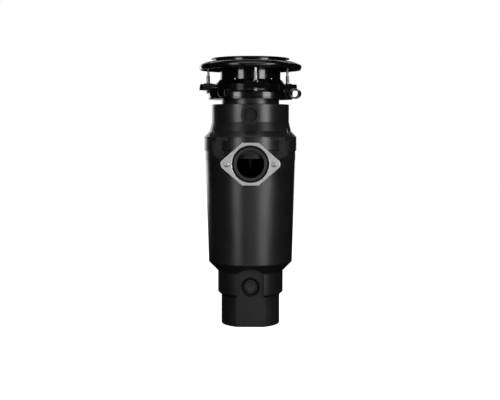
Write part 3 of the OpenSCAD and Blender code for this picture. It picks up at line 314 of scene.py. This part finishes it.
def banded(name, colour, second, dullness, bands, metallic, axis="Z"):
    """A finish with fine parallel lines, such as stacked laminations or wound wire."""
    finish, tree, shader = begin_finish(name)
    place = tree.nodes.new("ShaderNodeTexCoord")
    lines = tree.nodes.new("ShaderNodeTexWave")
    lines.bands_direction = axis
    lines.inputs["Scale"].default_value = bands
    lines.inputs["Distortion"].default_value = 0.4
    tree.links.new(place.outputs["Object"], lines.inputs["Vector"])
    plug_in(tree, shader,
            tint(tree, lines.outputs["Fac"], colour, second),
            spread(tree, lines.outputs["Fac"], dullness, dullness + 0.1, from_low=0.0, from_high=1.0),
            relief(tree, lines.outputs["Fac"], strength=0.4, depth=0.0001))
    shader.inputs["Metallic"].default_value = metallic
    return finish


def felt(name, colour):
    """Pressed fibre, matt all over, with paler fibres on top."""
    finish, tree, shader = begin_finish(name)
    pale = tuple(c * 1.7 for c in colour)
    fibres = grain(tree, scale=700.0, detail=8.0, rough=0.75)
    plug_in(tree, shader,
            tint(tree, spread(tree, fibres, 0.0, 1.0), colour, pale),
            spread(tree, fibres, 0.85, 1.0),
            relief(tree, fibres, strength=0.7, depth=0.0004))
    shader.inputs["Sheen Weight"].default_value = 0.3
    return finish


cast_aluminium = cast_metal("cast_aluminium", (0.52, 0.53, 0.54), 0.5)
ground_steel = plated_metal("ground_steel", (0.56, 0.57, 0.58), 0.24, (0.44, 0.45, 0.46), streaks=500.0)
dark_steel = plated_metal("dark_steel", (0.05, 0.05, 0.052), 0.42, (0.03, 0.03, 0.031))
rolled_can_steel = cast_metal("rolled_can_steel", (0.34, 0.35, 0.37), 0.38)
ferrite = cast_metal("ferrite", (0.06, 0.06, 0.065), 0.62)
core_laminations = banded("core_laminations", (0.30, 0.30, 0.31), (0.18, 0.18, 0.19), 0.42, 900.0, 1.0)
enamelled_copper = banded("enamelled_copper", (0.62, 0.22, 0.06), (0.36, 0.10, 0.03), 0.28, 420.0, 0.8)
commutator_copper = banded("commutator_copper", (0.72, 0.36, 0.18), (0.55, 0.26, 0.13), 0.26, 700.0, 1.0)
phenolic_brown = moulded_plastic("phenolic_brown", (0.16, 0.07, 0.02), 0.42, lift=1.4)
carbon = cast_metal("carbon", (0.045, 0.045, 0.047), 0.55)
board_green = banded("board_green", (0.012, 0.11, 0.05), (0.02, 0.15, 0.07), 0.35, 120.0, 0.0, "X")
epoxy_black = moulded_plastic("epoxy_black", (0.018, 0.018, 0.02), 0.3, lift=1.6)
grey_felt = felt("grey_felt", (0.09, 0.095, 0.10))
dress(cast_aluminium, "end_bell", "upper_end_bell")
dress(ground_steel, "lower_bearing", "upper_bearing")
dress(dark_steel, "motor_shaft")
dress(rolled_can_steel, "motor_can")
dress(ferrite, "magnets")
dress(zinc_plate, "through_bolts")
dress(core_laminations, "armature_core")
dress(enamelled_copper, "armature_windings")
dress(commutator_copper, "commutator")
dress(phenolic_brown, "brush_holders")
dress(carbon, "brushes")
dress(spring_wire, "brush_springs")
dress(board_green, "circuit_board")
dress(epoxy_black, "bridge_rectifier")
dress(grey_felt, "sound_insulation")

# ---------------------------------------------------------------------------
# Jacket: one slightly tapered tube of black polypropylene over the motor. It is moulded with a
# polished cavity, so it has the longest and softest reflections of the whole unit.
# ---------------------------------------------------------------------------
jacket_black = moulded_plastic("jacket_black", (0.0125, 0.0125, 0.0135), 0.30, pebble=0.05)
dress(jacket_black, "outer_shell")

# ---------------------------------------------------------------------------
# Drain chamber and hopper: two black glass-filled mouldings, joined by five dark screws over a
# flat rubber seal. The hopper carries the dishwasher stub, closed by a thin knock-out disc.
# ---------------------------------------------------------------------------

def matt_with_painted_shade_inside(finish, radius):
    """Makes a finish matt inside the radius, where the mould isn't polished, and paints shade there by
    darkening its colour almost to black.
    """
    tree = finish.node_tree
    shader = tree.nodes["Principled BSDF"]
    # the near-black colour used inside the radius is painted shade
    painted_shade_colour = (0.002, 0.002, 0.002)
    fade = (radius - 0.0005, radius + 0.0005)
    place = tree.nodes.new("ShaderNodeTexCoord")
    across = tree.nodes.new("ShaderNodeVectorMath")
    across.operation = "MULTIPLY"
    across.inputs[1].default_value = (1, 1, 0)
    tree.links.new(place.outputs["Object"], across.inputs[0])
    distance = tree.nodes.new("ShaderNodeVectorMath")
    distance.operation = "LENGTH"
    tree.links.new(across.outputs["Vector"], distance.inputs[0])
    outside = spread(tree, distance.outputs["Value"], 0.0, 1.0, *fade)
    inside = spread(tree, distance.outputs["Value"], 1.0, 0.0, *fade)
    plastic_colour = shader.inputs["Base Color"].links[0].from_socket
    polished_dullness = shader.inputs["Roughness"].links[0].from_socket
    tree.links.new(tint(tree, outside, painted_shade_colour, plastic_colour), shader.inputs["Base Color"])
    tree.links.new(combine(tree, "MAXIMUM", polished_dullness, inside), shader.inputs["Roughness"])


def soft_rubber(name, colour, dullness):
    """Rubber with a fine grain and a dusty bloom in patches."""
    finish, tree, shader = begin_finish(name)
    dusty = tuple(c * 1.9 for c in colour)
    skin = grain(tree, scale=1100.0, detail=4.0)
    bloom = grain(tree, scale=35.0, detail=5.0)
    plug_in(tree, shader,
            tint(tree, spread(tree, bloom, 0.0, 0.6), colour, dusty),
            spread(tree, bloom, dullness - 0.06, dullness + 0.08),
            relief(tree, skin, strength=0.2, depth=0.00006))
    return finish


def shine(finish, level):
    """Sets how strongly a finish reflects, where ordinary plastic has 0.5."""
    finish.node_tree.nodes["Principled BSDF"].inputs["Specular IOR Level"].default_value = level


chamber_black = moulded_plastic("chamber_black", (0.0135, 0.0135, 0.0145), 0.30, pebble=0.06)
# painted shade: the chamber's inside, seen through the outlet, is darkened almost to black within this
# radius of the axis
matt_with_painted_shade_inside(chamber_black, radius=0.0514)
hopper_black = moulded_plastic("hopper_black", (0.0135, 0.0135, 0.0145), 0.30, pebble=0.06)
knockout_black = moulded_plastic("knockout_black", (0.008, 0.008, 0.0085), 0.52, pebble=0.12)
shine(knockout_black, 0.3)
seal_rubber = soft_rubber("seal_rubber", (0.004, 0.004, 0.0045), 0.75)
shine(seal_rubber, 0.2)
dress(chamber_black, "drain_chamber")
dress(hopper_black, "hopper")
dress(knockout_black, "dishwasher_knockout")
dress(seal_rubber, "hopper_seal", "shaft_seal", "outlet_gasket")
dress(dark_steel, "hopper_screws")

# the moulded ends of the pipe and the stub are rounded over, which catches the light as a thin ring
rim_black = moulded_plastic("rim_black", (0.026, 0.026, 0.027), 0.24, pebble=0.04)
outlet_z, inlet_z = 235.3, 303.7
rim_front, rim_deep = -67.51, 1.2
for name, z, outer, inner in (("pipe_rim", outlet_z, 23.2, 19.6), ("stub_rim", inlet_z, 12.4, 10.1)):
    roll = (outer - inner) / 2 * 0.95
    bead = turned(name, rounded([
        (inner, -rim_deep, 0), (outer, -rim_deep, 0), (outer, 0.0, roll), (inner, 0.0, roll)], 8), 120)
    bead.data.transform(facing_front(0.0, rim_front, z))
    bead.data.materials.append(rim_black)
    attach(bead, "housing")

# ---------------------------------------------------------------------------
# Discharge plate: a lozenge stamped from 3 mm satin metal, with rolled edges. It clamps the
# drain elbow to the chamber with two plated pan-head screws.
# ---------------------------------------------------------------------------

def stamped(name, outlines, thick, roll):
    """Sheet cut to closed outlines in millimetres, with its edges rolled over. It lies flat, face up."""
    plan = bpy.data.curves.new(name, "CURVE")
    plan.dimensions = "2D"
    plan.fill_mode = "BOTH"
    plan.extrude = (thick / 2 - roll) / 1000
    plan.bevel_depth = roll / 1000
    plan.bevel_resolution = 4
    plan.offset = -roll / 1000
    for outline in outlines:
        line = plan.splines.new("POLY")
        line.points.add(len(outline) - 1)
        line.use_cyclic_u = True
        for point, (x, y) in zip(line.points, outline):
            point.co = (x / 1000, y / 1000, 0.0, 1.0)
    holder = bpy.data.objects.new(name, plan)
    bpy.context.scene.collection.objects.link(holder)
    bpy.context.view_layer.update()
    flat = bpy.data.meshes.new_from_object(holder.evaluated_get(bpy.context.evaluated_depsgraph_get()))
    bpy.data.objects.remove(holder)
    shape = bmesh.new()
    shape.from_mesh(flat)
    return keep(name, shape)


def bar(low, high):
    """A plain block between two corners in millimetres, used only to cut with."""
    shape = bmesh.new()
    bmesh.ops.create_cube(shape, size=1.0)
    for v in shape.verts:
        v.co = [((low[i] + high[i]) / 2 + v.co[i] * (high[i] - low[i])) / 1000 for i in range(3)]
    return keep("cutter", shape)


def carve(piece, *cutters):
    """Takes each cutter's shape out of the piece and removes the cutter."""
    for cutter in cutters:
        knife = piece.modifiers.new("carve", "BOOLEAN")
        knife.operation = "DIFFERENCE"
        knife.solver = "EXACT"
        knife.object = cutter
    bpy.context.view_layer.update()
    whole = bpy.data.meshes.new_from_object(piece.evaluated_get(bpy.context.evaluated_depsgraph_get()))
    piece.modifiers.clear()
    piece.data = whole
    piece.modifiers.new("even_shading", "WEIGHTED_NORMAL").keep_sharp = True
    for cutter in cutters:
        bpy.data.objects.remove(cutter)


def gathered(name, piece, places):
    """One object with a copy of the piece at each place, given as a matrix."""
    shape = bmesh.new()
    for place in places:
        copy = piece.data.copy()
        copy.transform(place)
        shape.from_mesh(copy)
        bpy.data.meshes.remove(copy)
    bpy.data.objects.remove(piece)
    return keep(name, shape)


def pan_screw(name, head_r, head_h, shank_r, shank_len, cross):
    """A pan-head screw with a cross recess and a plain shank, head up, with its seat at the origin."""
    screw = turned(name, rounded([
        (0.0, -shank_len, 0), (shank_r * 0.5, -shank_len, 0), (shank_r, -shank_len + 1.4, 0.3),
        (shank_r, 0, 0), (head_r, 0, 0.12), (head_r, head_h * 0.52, head_h * 0.4),
        (head_r * 0.62, head_h * 0.93, head_r * 0.3), (0.0, head_h, 0)], 6), 48)
    long, wide = cross / 2, cross * 0.11
    low, high = head_h * 0.42, head_h * 1.5
    carve(screw, bar((-long, -wide, low), (long, wide, high)), bar((-wide, -long, low), (wide, long, high)))
    return screw


# a lozenge: two round ends, joined by tangents to a short flat top and bottom
satin_plate = plated_metal("satin_plate", (0.86, 0.86, 0.86), 0.40, (0.76, 0.76, 0.76),
                           edge=0.0005, streaks=650.0)
plate_front, plate_thick, plate_roll = -68.6, 3.0, 0.75
ear_at, ear_r = 33.2, 8.3
flat_half, half_height = 11.8, 29.9
pipe_hole_r, screw_hole_r = 25.85, 2.1
reach = math.hypot(flat_half - ear_at, half_height)
tangent = math.atan2(half_height, flat_half - ear_at) - math.acos(ear_r / reach)
half_outline = [(flat_half, half_height)]
for k in range(13):
    a = tangent * (1 - k / 6)
    half_outline.append((ear_at + ear_r * math.cos(a), ear_r * math.sin(a)))
half_outline.append((flat_half, -half_height))
outlines = [half_outline + [(-x, -y) for x, y in half_outline]]
for x, r, step in ((0.0, pipe_hole_r, 3), (ear_at, screw_hole_r, 15), (-ear_at, screw_hole_r, 15)):
    angles = [math.radians(a) for a in range(0, 360, step)]
    outlines.append([(x + r * math.cos(a), r * math.sin(a)) for a in angles])
plate = stamped("outlet_plate", outlines, plate_thick, plate_roll)
plate.data.transform(facing_front(0.0, plate_front + plate_thick / 2, outlet_z))
stands_for(plate, satin_plate, "housing", "outlet_metal", "outlet_flange")

# each screw stopped at its own angle when it was driven home
head_zinc = plated_metal("head_zinc", (0.66, 0.68, 0.70), 0.50, (0.55, 0.57, 0.59))
one_screw = pan_screw("pan_screw", head_r=3.85, head_h=2.35, shank_r=1.74, shank_len=11.0, cross=3.4)
clamp_screws = gathered("outlet_pan_screws", one_screw, [
    facing_front(x, plate_front, outlet_z) @ Matrix.Rotation(math.radians(turn), 4, "Z")
    for x, turn in ((-ear_at, 18), (ear_at, 52))])
stands_for(clamp_screws, head_zinc, "housing", "zinc_steel", "outlet_screws")

# ---------------------------------------------------------------------------
# Grinding parts: a stainless ring with slots, a stainless disc with drain holes, and two
# swivelling cast lugs on riveted pins, all under a plated nut.
# ---------------------------------------------------------------------------
stainless = plated_metal("stainless", (0.50, 0.50, 0.49), 0.30, (0.40, 0.40, 0.395), streaks=300.0)
cast_stainless = cast_metal("cast_stainless", (0.46, 0.46, 0.455), 0.42)
dress(stainless, "grind_ring", "grinding_disc", "impeller_pins")
dress(cast_stainless, "impeller_a", "impeller_b")
dress(zinc_plate, "disc_nut")

# ---------------------------------------------------------------------------
# Mount rings: steel rings in thick glossy black enamel. The support ring lies under the sink, a
# sprung wire ring in the sleeve's groove carries the upper ring, and the lower one turns to lock.
# ---------------------------------------------------------------------------

def enamelled_steel(name, colour, dullness):
    """Steel in black enamel: mirror-like, with a slight orange peel and thin paint on corners."""
    finish, tree, shader = begin_finish(name)
    thin_paint = tuple(c * 4 for c in colour)
    peel = grain(tree, scale=260.0, detail=2.0)
    haze = grain(tree, scale=45.0, detail=4.0)
    corner, rubbed = worn_edges(tree, radius=0.0006, amount=0.45)
    plug_in(tree, shader,
            tint(tree, rubbed, colour, thin_paint),
            spread(tree, haze, dullness - 0.03, dullness + 0.04),
            relief(tree, peel, strength=0.05, depth=0.00008, under=corner))
    shader.inputs["Coat Weight"].default_value = 0.15
    shader.inputs["Coat Roughness"].default_value = 0.06
    return finish


black_enamel = enamelled_steel("black_enamel", (0.0045, 0.0045, 0.005), 0.17)
dress(black_enamel, "lower_mounting_ring", "upper_mounting_ring")
dress(spring_wire, "snap_ring")

# pressed support ring: a flat top, a long soft shoulder and a curled-in edge
sleeve_r = 43.6
ring_top, sheet, rim_drop = 380.3, 2.0, 11.4
ring_hole_r = sleeve_r + 0.4
support_ring = turned("pressed_support_ring", rounded([
    (ring_hole_r, ring_top - sheet, 0.3), (ring_hole_r, ring_top, 0.6), (63.5, ring_top, 2.4),
    (66.9, ring_top - 0.9, 1.6), (70.9, ring_top - 2.8, 2.2), (73.6, ring_top - 4.5, 1.4),
    (74.35, ring_top - 6.0, 0.8), (74.2, ring_top - 7.4, 0.9), (73.1, ring_top - rim_drop, 0.3),
    (71.3, ring_top - rim_drop, 0.3), (72.2, ring_top - 6.9, 1.2), (69.9, ring_top - 4.8, 1.4),
    (66.1, ring_top - 2.9, 1.4), (62.9, ring_top - sheet, 1.2)], 6), 192)
stands_for(support_ring, black_enamel, "housing", "mount_black", "support_ring")

# ---------------------------------------------------------------------------
# Sink flange: a sleeve and lip spun from one piece of steel and enamelled black. The lip thins to
# a rounded edge and falls into the throat in a soft roll, and a rubber ring seals it on the sink.
# ---------------------------------------------------------------------------
flange_black = enamelled_steel("flange_black", (0.004, 0.004, 0.0045), 0.14)
throat_r, groove_r = sleeve_r - 1.8, sleeve_r - 0.9
sleeve_low, groove_low, groove_high = 339.8, 350.9, 353.35
lip_low, lip_r = 384.3, 57.1
sink_flange = turned("spun_sink_flange", rounded([
    (throat_r, sleeve_low, 0.3), (sleeve_r, sleeve_low, 0.3), (sleeve_r, groove_low, 0.1),
    (groove_r, groove_low + 0.05, 0.1), (groove_r, groove_high - 0.05, 0.1), (sleeve_r, groove_high, 0.1),
    (sleeve_r, lip_low, 0), (lip_r - 0.7, lip_low, 0.5), (lip_r, lip_low + 0.65, 0.4),
    (lip_r - 0.2, lip_low + 1.05, 0.3), (lip_r - 1.7, lip_low + 1.5, 1.2),
    (sleeve_r + 6, lip_low + 1.25, 2.4), (sleeve_r + 1, lip_low + 0.9, 1.6),
    (throat_r + 0.4, lip_low + 0.1, 1.4), (throat_r, lip_low - 1.3, 1.2)], 6), 192)
stands_for(sink_flange, flange_black, "housing", "flange_black", "sink_flange")

gasket_rubber = soft_rubber("gasket_rubber", (0.005, 0.005, 0.0055), 0.16)
gasket_r, gasket_h = 52.4, 4.0
gasket_hole_r = sleeve_r + 0.3
flange_gasket = turned("soft_flange_gasket", rounded([
    (gasket_hole_r, ring_top, 0.3), (gasket_r, ring_top, 0.9),
    (gasket_r, ring_top + gasket_h, 0.9), (gasket_hole_r, ring_top + gasket_h, 0.3)], 5), 160)
stands_for(flange_gasket, gasket_rubber, "housing", "black_rubber", "flange_gasket")

# ---------------------------------------------------------------------------
# Throat rubber: a moulded cushion that seals the hopper on the flange's sleeve, and the splash
# guard that stands in the throat and lifts out. Its eight flaps droop a little towards the hole.
# ---------------------------------------------------------------------------
cushion_rubber = soft_rubber("cushion_rubber", (0.012, 0.012, 0.013), 0.45)
cushion_hole_r, cushion_r, cushion_low = 37.2, 47.0, 332.0
mounting_cushion = turned("soft_mounting_cushion", rounded([
    (cushion_hole_r, cushion_low, 0.8), (cushion_r, cushion_low, 0.8), (cushion_r, sleeve_low - 1.0, 1.2),
    (sleeve_r + 1.4, sleeve_low, 0.8), (cushion_hole_r, sleeve_low, 0.8)], 5), 160)
stands_for(mounting_cushion, cushion_rubber, "housing", "black_rubber", "mounting_cushion")

guard_rubber = soft_rubber("guard_rubber", (0.015, 0.015, 0.016), 0.5)
cuff_r, cuff_h, cuff_wall = 41.2, 13.0, 2.4
guard_hole_r, flaps = 9.0, 8
slit_half = 0.5
guard = turned("flap_guard", rounded([
    (guard_hole_r, sleeve_low + 0.2, 0.3), (cuff_r - 6, sleeve_low + 0.1, 2.0),
    (cuff_r, sleeve_low + 0.1, 0.8), (cuff_r, sleeve_low + cuff_h, 0.9),
    (cuff_r - cuff_wall, sleeve_low + cuff_h, 0.9), (cuff_r - cuff_wall, sleeve_low + 3.4, 2.0),
    (cuff_r - 6, sleeve_low + 2.1, 2.5), (guard_hole_r + 6, sleeve_low + 1.9, 4.0),
    (guard_hole_r, sleeve_low + 1.3, 0.5)], 5), 160)
slits = []
for i in range(flaps):
    slit = bar((guard_hole_r - 1, -slit_half, sleeve_low - 2), (cuff_r - 8, slit_half, sleeve_low + 6))
    slit.data.transform(Matrix.Rotation(math.radians((i + 0.5) * 360 / flaps), 4, "Z"))
    slits.append(slit)
carve(guard, *slits)
stands_for(guard, guard_rubber, "guard", "black_rubber", "splash_guard")

# ---------------------------------------------------------------------------
# Mounting screws: three bright zinc-plated set screws with a slotted lower end and a plain tip.
# Each is driven up through a lug of the upper ring and presses the support ring on the sink.
# ---------------------------------------------------------------------------

def threaded(name, outer_r, core_r, pitch, low, high, tip_r, tip_high):
    """A screw with a real helical thread from low to high and a plain tip above it, in millimetres."""
    sides, rows = 28, 8
    run_out = 0.8
    tip_cut = 0.35
    crest_width, flank_slope = 1.45, 3.3
    levels = rows * round((high - low) / pitch)
    rings = []
    for i in range(levels + 1):
        z = low + (high - low) * i / levels
        ends = max(0.0, min(1.0, (z - low) / run_out, (high - z) / run_out))
        ring = []
        for k in range(sides):
            phase = (z / pitch - k / sides) % 1.0
            crest = max(0.0, min(1.0, crest_width - flank_slope * abs(phase - 0.5)))
            r = core_r + (outer_r - core_r) * crest * ends
            a = 2 * math.pi * k / sides
            ring.append((r * math.cos(a), r * math.sin(a), z))
        rings.append(ring)
    around = [2 * math.pi * k / sides for k in range(sides)]
    for r, z in ((tip_r, high + 0.3), (tip_r, tip_high - tip_cut), (tip_r - tip_cut, tip_high)):
        rings.append([(r * math.cos(a), r * math.sin(a), z) for a in around])
    return skinned(name, rings, sharp=50.0)


bright_zinc = plated_metal("bright_zinc", (0.90, 0.90, 0.89), 0.46, (0.74, 0.74, 0.74), streaks=400.0)
lug_at, first_lug = 68.2, 6.0
screw_low, thread_len, screw_top = 336.4, 26.0, 375.3
slot_half, slot_deep = 0.5, 1.6
screw = threaded("mounting_screw", outer_r=2.88, core_r=2.45, pitch=1.27, low=screw_low,
                 high=screw_low + thread_len, tip_r=1.85, tip_high=screw_top)
carve(screw, bar((-4, -slot_half, screw_low - 1), (4, slot_half, screw_low + slot_deep)))
places = []
for i, turn in enumerate((24, 70, 8)):
    to_lug = Matrix.Rotation(math.radians(first_lug + 120 * i), 4, "Z")
    out = Matrix.Translation((0.0, -lug_at / 1000, 0.0))
    places.append(to_lug @ out @ Matrix.Rotation(math.radians(turn), 4, "Z"))
mounting_screws = gathered("threaded_mounting_screws", screw, places)
stands_for(mounting_screws, bright_zinc, "housing", "zinc_steel", "mounting_screws")

# ---------------------------------------------------------------------------
# The studio: a tall softbox on each side of the camera, each in three parts with a dimmer glow at
# the foot, two low cards in front, strips behind on both sides and banks above and behind. The
# unit stands on a white paper sweep.
# ---------------------------------------------------------------------------
scene = bpy.context.scene
scene.view_settings.view_transform = "Standard"
scene.view_settings.look = "None"

camera_across, camera_far, camera_high = -0.0006, 1.40, 0.2858
look_down = 4.3
lens = bpy.data.cameras.new("product_camera")
lens.lens = 69.1
lens.sensor_width = 36.0
lens.clip_start = 0.05
lens.clip_end = 50.0
camera = bpy.data.objects.new("product_camera", lens)
camera.location = (camera_across, -camera_far, camera_high)
camera.rotation_euler = (math.radians(90 - look_down), 0.0, 0.0)
scene.collection.objects.link(camera)
scene.camera = camera

paper_white = bpy.data.worlds.new("paper_white")
scene.world = paper_white
paper_white.use_nodes = True
backdrop = paper_white.node_tree.nodes["Background"]
backdrop.inputs["Color"].default_value = (1, 1, 1, 1)
backdrop.inputs["Strength"].default_value = 1.0
seen_by = paper_white.cycles_visibility
seen_by.diffuse = seen_by.glossy = seen_by.transmission = seen_by.scatter = False


def softbox(name, azimuth, distance, centre_z, width, height, brightness, aim_z=None):
    """A flat lamp at an azimuth counted from the front towards +X. It is level, or aimed at a height on
    the axis, and it is as bright at any size."""
    if aim_z is None:
        aim_z = centre_z
    lamp = bpy.data.lights.new(name, "AREA")
    lamp.shape = "RECTANGLE"
    lamp.size = width
    lamp.size_y = height
    lamp.energy = brightness * math.pi * width * height
    box = bpy.data.objects.new(name, lamp)
    a = math.radians(azimuth)
    box.location = (distance * math.sin(a), -distance * math.cos(a), centre_z)
    toward = Vector((0.0, 0.0, aim_z)) - box.location
    box.rotation_euler = toward.to_track_quat("-Z", "Y").to_euler()
    box.visible_camera = False
    scene.collection.objects.link(box)


for side, azimuth, low_azimuth, width, top_glow, middle_glow, low_glow in (
        ("left", -36.0, -33.0, 0.54, 6.9, 4.5, 1.9), ("right", 44.6, 36.0, 0.62, 8.2, 6.3, 3.0)):
    softbox(f"{side}_box_top", azimuth, 1.7, 0.575, width, 0.55, top_glow)
    softbox(f"{side}_box_middle", azimuth, 1.7, 0.19, width, 0.22, middle_glow)
    softbox(f"{side}_box_low", low_azimuth, 1.7, -0.09, width, 0.34, low_glow)

# azimuth, distance, height of its middle, width, height and brightness of each, in degrees and metres
softbox("front_card", 0.0, 1.75, -0.04, 0.72, 0.56, 0.64)
softbox("front_right_card", 22.0, 1.75, -0.02, 0.58, 0.6, 1.5)
softbox("back_left_strip", -152.0, 1.6, 0.47, 0.55, 0.86, 2.4)
softbox("back_left_glow", -171.0, 1.6, 0.47, 0.5, 0.86, 0.5)
softbox("back_right_strip", 166.0, 1.6, 0.45, 0.36, 0.9, 0.7)
softbox("back_bank", 180.0, 1.8, 0.85, 1.1, 0.4, 0.7, aim_z=0.25)
softbox("back_high_bank", 180.0, 1.5, 1.40, 1.7, 0.14, 1.6, aim_z=0.38)
softbox("front_top_box", 0.0, 0.5, 1.5, 1.5, 0.9, 0.9, aim_z=0.38)
softbox("top_box", 0.0, 0.02, 1.5, 0.6, 0.6, 2.2, aim_z=0.25)

sweep_half, sweep_gap = 3.0, 0.0004
sweep_mesh = bpy.data.meshes.new("paper_sweep")
shape = bmesh.new()
bmesh.ops.create_grid(shape, x_segments=8, y_segments=8, size=sweep_half)
shape.to_mesh(sweep_mesh)
shape.free()
sweep = bpy.data.objects.new("paper_sweep", sweep_mesh)
sweep.location = (0, 0, -sweep_gap)
scene.collection.objects.link(sweep)
paper, _, paper_shader = begin_finish("paper")
paper_shader.inputs["Base Color"].default_value = (0.8, 0.8, 0.8, 1)
paper_shader.inputs["Roughness"].default_value = 0.9
paper_shader.inputs["Emission Color"].default_value = (1, 1, 1, 1)
paper_shader.inputs["Emission Strength"].default_value = 1.02
sweep_mesh.materials.append(paper)
sweep.visible_diffuse = False
sweep.visible_glossy = False
